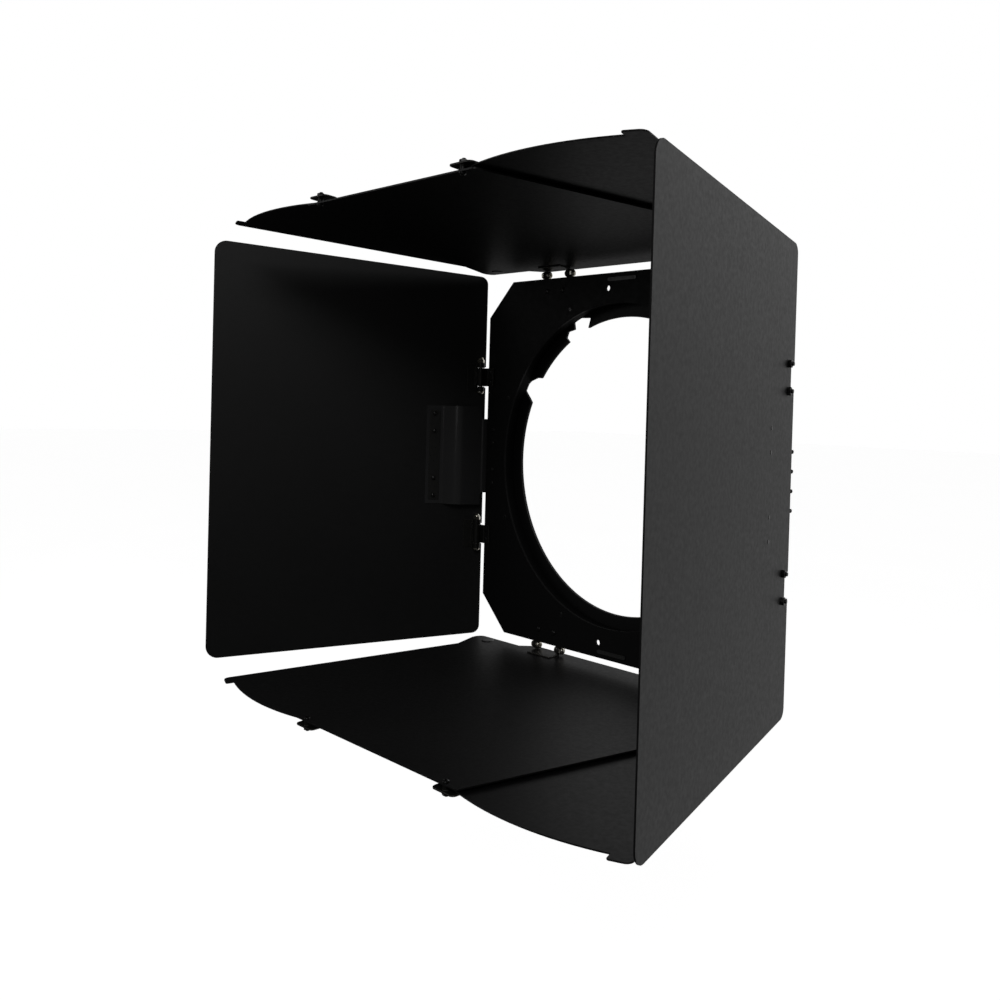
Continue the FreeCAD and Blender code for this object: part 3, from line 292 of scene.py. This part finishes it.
class Piece:
    """Collects small parts that share one object, one body and one material list."""

    def __init__(self, name, body, mats, replaces=(), slot=None, smooth=30.0):
        self.name, self.body, self.mats, self.nodes, self.slot, self.smooth = name, body, mats, replaces, slot, smooth
        self.bm = bmesh.new()

    def ring_surface(self, rings, matrix, mat=0, close_start=True, close_end=True):
        """Joins rings of points (each the same count, closed) into a skin; coordinates in mm in the given frame."""
        bm = self.bm
        made = []
        for ring in rings:
            made.append([bm.verts.new((matrix @ Vector(p)) * MM) for p in ring])
        n = len(made[0])
        for a, b in zip(made, made[1:]):
            for i in range(n):
                j = (i + 1) % n
                f = bm.faces.new((a[i], a[j], b[j], b[i]))
                f.material_index = mat
        if close_start:
            bm.faces.new(made[0][::-1]).material_index = mat
        if close_end:
            bm.faces.new(made[-1]).material_index = mat
        return made

    def lathe(self, profile, matrix, n=40, mat=0, close=True):
        """Turned part: profile is (radius, height) in mm from one end to the other."""
        rings = []
        for r, z in profile:
            rings.append([(r * math.cos(2 * math.pi * i / n), r * math.sin(2 * math.pi * i / n), z) for i in range(n)])
        if not close:
            rings.append(rings[0])
            self.ring_surface(rings, matrix, mat, False, False)
        else:
            self.ring_surface(rings, matrix, mat)

    def hex_body(self, flats, high, bore, matrix, mat=0, per=7, chamfer=0.93, both=True, phase=0.0):
        """Hexagon nut with turned chamfers on its corners and a countersunk bore."""
        n = per * 6

        def hexr(i):
            t = (i % per) / per * math.radians(60) - math.radians(30)
            return flats / 2 / math.cos(t)

        rc = flats / 2 * chamfer
        k = math.tan(math.radians(28))
        ang = [math.radians(60) * (i / per) + phase for i in range(n)]

        def ring(rf, zf):
            return [(rf(i) * math.cos(ang[i]), rf(i) * math.sin(ang[i]), zf(i)) for i in range(n)]

        rings = [ring(lambda i: bore, lambda i: 0.3), ring(lambda i: bore + 0.3, lambda i: 0.0)]
        if both:
            rings += [ring(lambda i: rc, lambda i: 0.0), ring(hexr, lambda i: (hexr(i) - rc) * k)]
        else:
            rings += [ring(lambda i: flats / 2 * 1.1, lambda i: 0.0), ring(hexr, lambda i: 0.0)]
        rings += [ring(hexr, lambda i: high - (hexr(i) - rc) * k), ring(lambda i: rc, lambda i: high),
                  ring(lambda i: bore + 0.3, lambda i: high), ring(lambda i: bore, lambda i: high - 0.3)]
        rings.append(rings[0])
        self.ring_surface(rings, matrix, mat, False, False)

    def thread(self, rad, length, matrix, mat=0, pitch=0.5, n=24):
        """Threaded end: crests and roots as fine turned grooves with a chamfered tip."""
        prof = [(rad * 0.55, 0.0), (rad + 0.02, 0.0)]
        z = 0.0
        while z < length - pitch:
            prof += [(rad + 0.02, z + pitch * 0.30), (rad - 0.20, z + pitch * 0.55), (rad - 0.20, z + pitch * 0.65), (rad + 0.02, z + pitch * 0.92)]
            z += pitch
        prof += [(rad - 0.05, length - 0.2), (rad - 0.35, length + 0.04), (rad * 0.45, length + 0.05)]
        self.lathe(prof, matrix, n, mat)

    def make(self):
        bmesh.ops.remove_doubles(self.bm, verts=self.bm.verts, dist=1e-8)
        o = finish_mesh(self.bm, self.name, self.mats, self.smooth)
        if self.nodes:
            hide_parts(*self.nodes)
        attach(o, self.body)
        return o


def dome_profile(rad, high, base=0.0, edge=0.25, steps=7):
    """Round head seen in section, from its seat up to the crown."""
    prof = [(rad * 0.4, base), (rad, base), (rad, base + edge)]
    for i in range(1, steps + 1):
        t = math.radians(90) * i / steps
        prof.append((max(rad * math.cos(t), 0.02), base + edge + (high - edge) * math.sin(t)))
    return prof


# ------------------------------------------------------------------ CAD pieces with rolled edges
for n in ("left_leaf", "right_leaf", "top_panel", "bottom_panel", "top_left_wing", "top_right_wing", "bottom_left_wing", "bottom_right_wing"):
    refine(n, 0.00035, "leaf", "leaf_edge")
plate = refine("frame_plate", 0.00035, "frame", "frame_edge", merge=False)
# the front faces of the two raised ribs get the much lighter rib coat, a painted highlight standing in for light along
# their top edge
plate.data.materials.append(MAT["rib_painted_highlight"])
for f in plate.data.polygons:
    c = f.center / MM
    if abs(c.x - 5.5) < 17.0 and abs(abs(c.z) - 162.0) < 1.8 and c.y < FRONT - 0.25:
        f.material_index = 2
refine("mount_ring", 0.00040, "ring", "ring_edge", merge=False)
refine("bayonet_plate", 0.00060, "bayonet", "bayonet_edge", segs=3, merge=False)
for n in NODES:
    if n.endswith("_hinge_fork") or n.endswith("_hinge_tongue"):
        refine(n, 0.00030, "hinge", "hinge_edge")
    elif n.endswith("_seal_clamp"):
        refine(n, 0.00025, "clamp", "clamp_edge")
    elif n.endswith("_seal_anchor") or n.endswith("_guide_clip"):
        refine(n, 0.00025, "hinge", "hinge_edge")

# ------------------------------------------------------------------ fasteners, turned and threaded
def hex_ring(flats, z, per=7):
    out = []
    for i in range(per * 6):
        t = (i % per) / per * math.radians(60) - math.radians(30)
        r = flats / 2 / math.cos(t)
        a = math.radians(60) * (i / per)
        out.append((r * math.cos(a), r * math.sin(a), z))
    return out


def circle_ring(r, z, n=42):
    return [(r * math.cos(2 * math.pi * i / n), r * math.sin(2 * math.pi * i / n), z) for i in range(n)]


def button_head(p, m, rad, high, socket, mat=0):
    """Button head with a hexagon socket, seat at z = 0 and crown at z = high."""
    rings = [circle_ring(rad * 0.45, 0.0), circle_ring(rad - 0.12, 0.0), circle_ring(rad, 0.12), circle_ring(rad, high * 0.30)]
    for i in range(1, 6):
        t = math.radians(62) * i / 5
        rings.append(circle_ring(rad * math.cos(t) * 1.0, high * (0.30 + 0.70 * math.sin(t) / math.sin(math.radians(62)))))
    rings += [circle_ring(socket * 0.66, high), circle_ring(socket * 0.60, high - 0.10), hex_ring(socket, high - 0.22), hex_ring(socket, high * 0.42), circle_ring(socket * 0.22, high * 0.34)]
    p.ring_surface(rings, m, mat)


def acorn_nut(p, m, flats, high, dome, mat=0):
    """Acorn nut: chamfered hexagon with a domed cap, seat at z = 0."""
    rc = flats / 2 * 0.94
    k = math.tan(math.radians(28))

    def hexr(i):
        t = (i % 7) / 7 * math.radians(60) - math.radians(30)
        return flats / 2 / math.cos(t)

    ang = [2 * math.pi * i / 42 for i in range(42)]
    rings = [circle_ring(flats * 0.2, 0.0), circle_ring(rc, 0.0),
             [(hexr(i) * math.cos(ang[i]), hexr(i) * math.sin(ang[i]), (hexr(i) - rc) * k) for i in range(42)],
             [(hexr(i) * math.cos(ang[i]), hexr(i) * math.sin(ang[i]), high - (hexr(i) - rc) * k * 1.2) for i in range(42)],
             circle_ring(rc, high), circle_ring(rc * 0.93, high + 0.05)]
    for i in range(1, 8):
        t = math.radians(90) * i / 7
        rings.append(circle_ring(max(rc * 0.90 * math.cos(t), 0.03), high + 0.05 + dome * 0.96 * math.sin(t)))
    p.ring_surface(rings, m, mat)


def wave_washer(p, m, inner, outer, room, mat=0, waves=3, thick=0.25):
    rings = []
    n = 72

    def ring(r, side):
        out = []
        for i in range(n):
            a = 2 * math.pi * i / n
            z = thick / 2 + (room - thick) / 2 * (1 + math.sin(waves * a)) + side * thick / 2
            out.append((r * math.cos(a), r * math.sin(a), z))
        return out

    rings = [ring(inner, -1), ring(outer, -1), ring(outer, 1), ring(inner, 1)]
    rings.append(rings[0])
    p.ring_surface(rings, m, mat, False, False)


def flat_washer(p, m, inner, outer, thick, mat=0, n=42):
    c = min(0.12, thick * 0.3)
    p.lathe([(inner, c), (inner + c, 0.0), (outer - c, 0.0), (outer, c), (outer, thick - c), (outer - c, thick), (inner + c, thick), (inner, thick - c)], m, n, mat, close=False)


def rivet(p, m, shank, lo, hi, head_lo, head_hi, mat=0, n=32):
    """Rivet along +Z: seats at lo and hi, each head given as (radius, height) or None."""
    prof = []
    if head_lo:
        r, h = head_lo
        for i in range(7):
            t = math.radians(90) * i / 6
            prof.append((max(r * math.sin(t), 0.03), lo - 0.2 - (h - 0.2) * math.cos(t)))
        prof.append((r, lo))
    else:
        prof.append((0.03, lo))
    prof += [(shank, lo), (shank, hi)]
    if head_hi:
        r, h = head_hi
        prof.append((r, hi))
        for i in range(7):
            t = math.radians(90) * i / 6
            prof.append((max(r * math.cos(t), 0.03), hi + 0.2 + (h - 0.2) * math.sin(t)))
    else:
        prof.append((0.03, hi))
    p.lathe(prof, m, n, mat)


M_FAST, M_BRIGHT = [MAT["fastener"]], [MAT["bright"], MAT["fastener"]]

# ring rivets: flush heads with a ground rim in front, set tails behind
p = Piece("ring_rivet_set", "frame", [MAT["fastener"]], ("ring_rivets",), "black_hardware")
for k in range(8):
    a = math.radians(22.5 + 45 * k)
    m = at(ROOT, "y", 149.3 * math.cos(a), 0, 149.3 * math.sin(a))
    p.lathe([(0.03, -0.10), (1.5, -0.09), (2.05, -0.03), (2.2, 0.06), (1.2, 1.0), (1.2, 4.0), (1.9, 4.05), (2.15, 4.3), (1.9, 4.75), (1.2, 4.95), (0.5, 4.85), (0.03, 4.7)], m, 32)
p.make()

# seal anchors: rivets through the plate, screws and nuts through the wall
p = Piece("anchor_rivet_set", "frame", M_FAST, ("anchor_rivets",), "black_hardware")
q = Piece("anchor_screw_set", "frame", [MAT["fastener"], MAT["bright"]], ("anchor_screws",), "black_hardware")
r_ = Piece("anchor_nut_set", "frame", M_FAST, ("anchor_nuts",), "black_hardware")
for s_ in (-1, 1):
    for z in (13, 26, -13, -26):
        rivet(p, at(ROOT, "y", s_ * 158.5, 0, z), 1.25, 0.0, 3.2, (2.0, 0.9), (2.0, 0.9))
    ax = "x" if s_ > 0 else "-x"
    for z in (7.35, 22, -7.35, -22):
        m = at(ROOT, "-x" if s_ > 0 else "x", s_ * 166.5, 6.5, z)
        button_head(q, m, 2.7, 1.8, 2.0)
        m = at(ROOT, ax, s_ * 166.5, 6.5, z)
        q.lathe([(0.03, 0.0), (1.5, 0.0), (1.5, 4.2), (0.03, 4.2)], m, 24)
        q.thread(1.5, 5.8, at(ROOT, ax, s_ * 170.7, 6.5, z))
        r_.hex_body(5.5, 2.4, 1.56, at(ROOT, ax, s_ * 168.3, 6.5, z), 0, phase=math.radians(15 if z > 0 else -8))
p.make(); q.make(); r_.make()

# rivets that hold the hinges to the frame
p = Piece("hinge_rivet_set", "frame", M_FAST, ("hinge_mount_rivets",), "black_hardware")
for sx in (-1, 1):
    for sz in (-1, 1):
        for off in (-5, 5):
            rivet(p, at(ROOT, "y", sx * 163.7, 0, sz * HINGE + off), 1.5, -1.2, 2.0, (2.4, 0.9), (2.4, 1.2))
        for off in (-10, 10):
            rivet(p, at(ROOT, "y", sx * HINGE + off, 0, sz * 156), 1.5, 0.0, 3.5, (2.4, 1.2), (2.4, 1.2))
p.make()

# hinge bolts with socket heads, washers and acorn nuts
p = Piece("hinge_bolt_set", "frame", [MAT["bright"]], ("hinge_bolts",), "bright_hardware")
q = Piece("hinge_acorn_set", "frame", [MAT["bright"]], ("hinge_acorn_nuts",), "bright_hardware")
r_ = Piece("hinge_washer_set", "frame", M_FAST, ("hinge_washers",), "black_hardware")
EAR_MID, EAR_HALF = 14.85, 1.75


def hinge_bolt(axis, half, place, nut_high, crown):
    base = ROOT @ Matrix.Translation(place)
    fwd_m, back_m = base @ AXIS_TURN[axis], base @ AXIS_TURN["x" if axis == "-x" else "-" + axis]
    lo_z = half + 0.6
    button_head(p, back_m @ Matrix.Translation((0, 0, lo_z)), 3.3, 2.5, 2.3)
    p.lathe([(0.03, -lo_z - 0.3), (1.75, -lo_z - 0.3), (1.75, lo_z + 1.5), (0.03, lo_z + 1.5)], fwd_m, 28)
    acorn_nut(q, fwd_m @ Matrix.Translation((0, 0, lo_z)), 6.0, nut_high, crown)
    for sgn in (fwd_m, back_m):
        flat_washer(r_, sgn @ Matrix.Translation((0, 0, half)), 1.8, 3.5, 0.6)


for sx in (-1, 1):
    for sz in (-1, 1):
        hinge_bolt("z", 13.35, (sx * 174.4, -4.4, sz * HINGE), 3.2, 2.6)
        for s_ in (-1, 1):
            hinge_bolt("x" if s_ > 0 else "-x", EAR_HALF, (sx * HINGE + s_ * EAR_MID, 3.4, sz * 171.3), 2.4, 1.4)
p.make(); q.make(); r_.make()

# leaf hardware
random.seed(7)
for side in ("left", "right"):
    L = LEAF[side]
    p = Piece(side + "_hinge_nut_set", side + "_leaf", M_FAST, (side + "_hinge_nuts",), "black_hardware")
    for sz in (-1, 1):
        for off in (-10, 10):
            m = at(L, "z", sz * HINGE + off, 12.4, 1.2)
            p.hex_body(5.5, 2.4, 1.56, m, 0, phase=random.uniform(0, 1))
            p.thread(1.52, 1.5, at(L, "z", sz * HINGE + off, 12.4, 3.6))
    p.make()
    p = Piece(side + "_clamp_rivet_set", side + "_leaf", M_FAST, (side + "_clamp_rivets",), "black_hardware")
    for x in (-40, -23, 23, 40):
        rivet(p, at(L, "z", x, 48.0, 0), 1.25, -2.3, 1.2, (2.2, 1.2), (1.6, 0.25))
    p.make()

for level, sign in (("top", 1), ("bottom", -1)):
    L = LEAF[level]
    body = level + "_leaf"
    nuts = Piece(level + "_nut_set", body, M_FAST, (level + "_nuts",), "black_hardware")
    piv = Piece(level + "_pivot_rivet_set", body, M_FAST, (level + "_pivot_rivets",), "black_hardware")
    wash = Piece(level + "_pivot_washer_set", body, M_FAST, (level + "_pivot_washers",), "black_hardware")
    scr = Piece(level + "_clip_screw_set", body, [MAT["fastener"], MAT["bright"]], (level + "_clip_screws",), "black_hardware")
    for side in ("left", "right"):
        s_ = (1 if side == "left" else -1) * sign
        for off in (-9, 9):
            nuts.hex_body(5.5, 2.4, 1.56, at(L, "z", s_ * HINGE + off, 13.0, 1.2), 0, phase=random.uniform(0, 1))
            nuts.thread(1.52, 1.5, at(L, "z", s_ * HINGE + off, 13.0, 3.6))
        lift = 0.5 if side == "left" else 2.2
        base = 1.2 + lift
        flat_washer(wash, at(L, "z", s_ * 149.4, 16.5, 1.2), 3.05, 8.0, lift)
        wave_washer(wash, at(L, "z", s_ * 149.4, 16.5, base + 1.2), 3.05, 7.5, 0.8)
        rivet(piv, at(L, "z", s_ * 149.4, 16.5, 0), 3.0, 0.0, base + 2.0, (6.0, 1.0), (5.0, 1.2), n=44)
        nuts.hex_body(5.5, 2.4, 1.56, at(L, "z", s_ * 88.5, 255.2, 6.2), 0, phase=random.uniform(0, 1))
        button_head(scr, at(L, "-z", s_ * 88.5, 255.2, 0.0), 2.75, 1.8, 2.0)
        scr.lathe([(0.03, -0.1), (1.5, -0.1), (1.5, 8.6), (0.03, 8.6)], at(L, "z", s_ * 88.5, 255.2, 0), 24)
        scr.thread(1.5, 1.0, at(L, "z", s_ * 88.5, 255.2, 8.6))
    nuts.make(); piv.make(); wash.make(); scr.make()


# ------------------------------------------------------------------ light seals: one springy strip across each side hinge
SEAL = [(56.0, 0.0), (52.0, 0.0), (48.0, 0.0), (44.0, 0.0), (41.0, 0.05), (38.6, 0.5), (36.0, 2.5), (33.0, 5.2), (29.5, 7.2), (25.5, 8.3), (21.0, 8.6), (15.0, 8.3), (9.0, 7.7), (3.2, 6.8)]


def smooth_path(points, per=6):
    """Catmull-Rom through the points, with uniform parameter steps."""
    out = []
    n = len(points)
    for i in range(n - 1):
        p0, p1, p2, p3 = points[max(i - 1, 0)], points[i], points[i + 1], points[min(i + 2, n - 1)]
        for k in range(per):
            t = k / per
            out.append(0.5 * ((2 * p1) + (p2 - p0) * t + (2 * p0 - 5 * p1 + 4 * p2 - p3) * t * t + (3 * p1 - p0 - 3 * p2 + p3) * t * t * t))
    out.append(points[-1])
    return out


def seal(side):
    L = LEAF[side]
    s_ = -1 if side == "left" else 1
    line = [(L @ Vector((0, l, -e)))for l, e in SEAL]
    line += [Vector((s_ * 169.9, FRONT - 2.6, 0)), Vector((s_ * 168.6, FRONT + 0.6, 0)), Vector((s_ * 168.0 - s_ * 0.02, FRONT + 3.6, 0)),
             Vector((s_ * 167.98, FRONT + 8.0, 0)), Vector((s_ * 167.98, FRONT + 12.8, 0))]
    mid = smooth_path(line, 5)
    # thickness: 0.8 on the leaf, 0.55 on the frame; the back line stays on the leaf's face
    cut_at = 5 * 13  # where the strip narrows to pass the hinge side
    bm = bmesh.new()
    us = [-48, -47.2, -44, -40, -36, -35.2, -28, -20, -12, -4, 4, 12, 20, 28, 35.2, 36, 40, 44, 47.2, 48]
    n = len(mid)
    normals = []
    for i, c in enumerate(mid):
        t = (mid[min(i + 1, n - 1)] - mid[max(i - 1, 0)]).normalized()
        # towards the beam for a strip on this side
        nrm = Vector((0, 0, 1)).cross(t) * s_
        normals.append(nrm)
    total = [[None] * len(us) for _ in range(n)]
    grid = [dict(), dict()]

    def vert(layer, i, j):
        key = (i, j)
        if key not in grid[layer]:
            th = 0.8 if i < cut_at else max(0.5, 0.8 - 0.06 * (i - cut_at))
            off = th if layer == 0 else 0.0
            if i >= cut_at + 8:
                off = 0.29 if layer == 0 else -0.26
            elif i >= cut_at:
                k = (i - cut_at) / 8
                off = off * (1 - k) + (0.29 if layer == 0 else -0.26) * k
            c = mid[i] + normals[i] * off * SIGN
            z = us[j]
            if us[j] in (-48, 48) and i in (0,):
                z *= 0.995
            grid[layer][key] = bm.verts.new((c.x * MM, c.y * MM, z * MM))
        return grid[layer][key]

    # the strip's free face looks into the beam; find which way that is at the crown
    crown = mid[5 * 10]
    SIGN = 1.0 if (normals[5 * 10].x * -s_) > 0 else -1.0
    cells = set()
    for i in range(n - 1):
        for j in range(len(us) - 1):
            wide = abs(us[j]) > 36 or abs(us[j + 1]) > 36
            if wide and i >= cut_at + 1:
                continue
            cells.add((i, j))
    for i, j in cells:
        for layer in (0, 1):
            q = [vert(layer, i, j), vert(layer, i + 1, j), vert(layer, i + 1, j + 1), vert(layer, i, j + 1)]
            bm.faces.new(q if layer == 0 else q[::-1])
        for (di, dj), (a, b) in (((-1, 0), ((i, j), (i, j + 1))), ((1, 0), ((i + 1, j), (i + 1, j + 1))), ((0, -1), ((i, j), (i + 1, j))), ((0, 1), ((i, j + 1), (i + 1, j + 1)))):
            if (i + di, j + dj) not in cells:
                bm.faces.new((vert(0, *a), vert(0, *b), vert(1, *b), vert(1, *a)))
    o = finish_mesh(bm, side + "_light_seal", [MAT["seal"]], 50.0)
    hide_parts(side + "_seal_strip", side + "_seal_tail")
    a = Vector((s_ * 168.2, FRONT - 0.5, 0)) * MM
    b = (L @ Vector((0, 11.0, -8.0))) * MM
    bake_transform(o)
    return o


for side in ("left", "right"):
    seal(side)

# ------------------------------------------------------------------ camera
cam = bpy.data.cameras.new("camera")
cam_o = bpy.data.objects.new("camera", cam)
scene.collection.objects.link(cam_o)
right, down, fwd = Vector((0.6337784, 0.7730408, 0.0270722)), Vector((0.0306208, 0.0098978, -0.9994821)), Vector((-0.7729084, 0.6342791, -0.0173981))
cam_o.matrix_world = Matrix(((right.x, -down.x, -fwd.x, 0.662363), (right.y, -down.y, -fwd.y, -0.730422), (right.z, -down.z, -fwd.z, 0.053858), (0, 0, 0, 1)))
cam.sensor_width = 36.0
cam.lens = 40.0346
cam.shift_x = 0.03092
cam.shift_y = -0.08032
cam.clip_start = 0.01
cam.clip_end = 50.0
cam.dof.use_dof = False
scene.camera = cam_o

# ------------------------------------------------------------------ studio
world = bpy.data.worlds.new("studio")
scene.world = world
world.use_nodes = True
wt = world.node_tree
wt.nodes.clear()
w_out = wt.nodes.new("ShaderNodeOutputWorld")
w_co = wt.nodes.new("ShaderNodeTexCoord")
w_sep = wt.nodes.new("ShaderNodeSeparateXYZ")
wt.links.new(w_co.outputs["Generated"], w_sep.inputs[0])


def w_range(sock, a, b, lo, hi, kind="LINEAR"):
    n = wt.nodes.new("ShaderNodeMapRange")
    n.interpolation_type = kind
    for name, v in (("From Min", a), ("From Max", b), ("To Min", lo), ("To Max", hi)):
        n.inputs[name].default_value = v
    wt.links.new(sock, n.inputs["Value"])
    return n.outputs[0]


def w_math(op, a, b):
    n = wt.nodes.new("ShaderNodeMath")
    n.operation = op
    for i, v in enumerate((a, b)):
        if isinstance(v, float):
            n.inputs[i].default_value = v
        else:
            wt.links.new(v, n.inputs[i])
    return n.outputs[0]


# a bright cyclorama behind the object, darker to the right, and a dim room on the camera's side
back = w_range(w_sep.outputs["Y"], -0.05, 0.95, 0.0, 1.0, "SMOOTHSTEP")
across = w_math("MINIMUM", w_range(w_sep.outputs["X"], -0.80, -0.15, 0.22, 1.25), w_range(w_sep.outputs["X"], -0.10, 0.40, 1.25, 0.55))
tall = w_math("MULTIPLY", w_math("MAXIMUM", w_range(w_sep.outputs["Z"], 0.0, 0.40, 0.95, 2.1), w_range(w_sep.outputs["Z"], -0.40, 0.0, 0.90, 0.95)),
              w_range(w_math("ABSOLUTE", w_sep.outputs["Z"], 0.0), 0.58, 0.85, 1.0, 0.45, "SMOOTHSTEP"))
lobe = w_math("MULTIPLY", w_math("MULTIPLY", back, across), tall)
w_light = wt.nodes.new("ShaderNodeBackground")
wt.links.new(w_math("ADD", w_math("MULTIPLY", lobe, 0.52), 0.040), w_light.inputs["Strength"])
w_white = wt.nodes.new("ShaderNodeBackground")
w_white.inputs["Color"].default_value = (1, 1, 1, 1)
w_white.inputs["Strength"].default_value = 1.0
w_path = wt.nodes.new("ShaderNodeLightPath")
w_mix = wt.nodes.new("ShaderNodeMixShader")
wt.links.new(w_path.outputs["Is Camera Ray"], w_mix.inputs[0])
wt.links.new(w_light.outputs[0], w_mix.inputs[1])
wt.links.new(w_white.outputs[0], w_mix.inputs[2])
wt.links.new(w_mix.outputs[0], w_out.inputs[0])

scene.view_settings.view_transform = "Standard"
scene.view_settings.look = "None"
scene.view_settings.exposure = 0.0
scene.view_settings.gamma = 1.0


def area(name, loc, target, size, power, color=(1, 1, 1)):
    l = bpy.data.lights.new(name, "AREA")
    l.shape = "RECTANGLE"
    l.size, l.size_y = size
    l.energy = power
    l.color = color
    o = bpy.data.objects.new(name, l)
    scene.collection.objects.link(o)
    o.location = loc
    o.rotation_mode = "QUATERNION"
    o.rotation_quaternion = (Vector(target) - Vector(loc)).to_track_quat("-Z", "Y")
    return o


area("key_softbox", (1.5, -1.9, 1.5), (0, -0.1, 0), (0.9, 0.9), 8.0)
area("fill_softbox", (-1.6, -1.6, 0.7), (0, -0.1, 0), (0.8, 1.2), 2.0)
area("strip_softbox", (0.75, -1.35, 0.50), (-0.165, -0.055, 0.03), (0.22, 0.90), 0.42)

# ------------------------------------------------------------------ floor
fm, fnt, fb = new_material("pale_floor")
fco = fnt.nodes.new("ShaderNodeTexCoord").outputs["Object"]
fnt.links.new(ramp(fnt, noise(fnt, fco, 3.0, 4.0, 0.5), [(0.3, (0.86, 0.86, 0.86)), (0.7, (0.90, 0.90, 0.90))]), fb.inputs["Base Color"])
fb.inputs["Roughness"].default_value = 0.9
fb.inputs["Specular IOR Level"].default_value = 0.0
fb.inputs["Emission Color"].default_value = (1, 1, 1, 1)
fb.inputs["Emission Strength"].default_value = 0.85
bm = bmesh.new()
bmesh.ops.create_grid(bm, x_segments=2, y_segments=2, size=14.0)
for v in bm.verts:
    v.co.z = -0.470
floor = finish_mesh(bm, "floor", [fm])
floor.visible_diffuse = False
floor.visible_glossy = False

# ------------------------------------------------------------------ remaining CAD nodes
for n, o in NODES.items():
    if o.hide_render:
        continue
    key = "bright" if n in ("hinge_bolts", "hinge_acorn_nuts") else "seal" if "seal" in n else "fastener"
    o.data.materials.clear()
    o.data.materials.append(MAT[key])
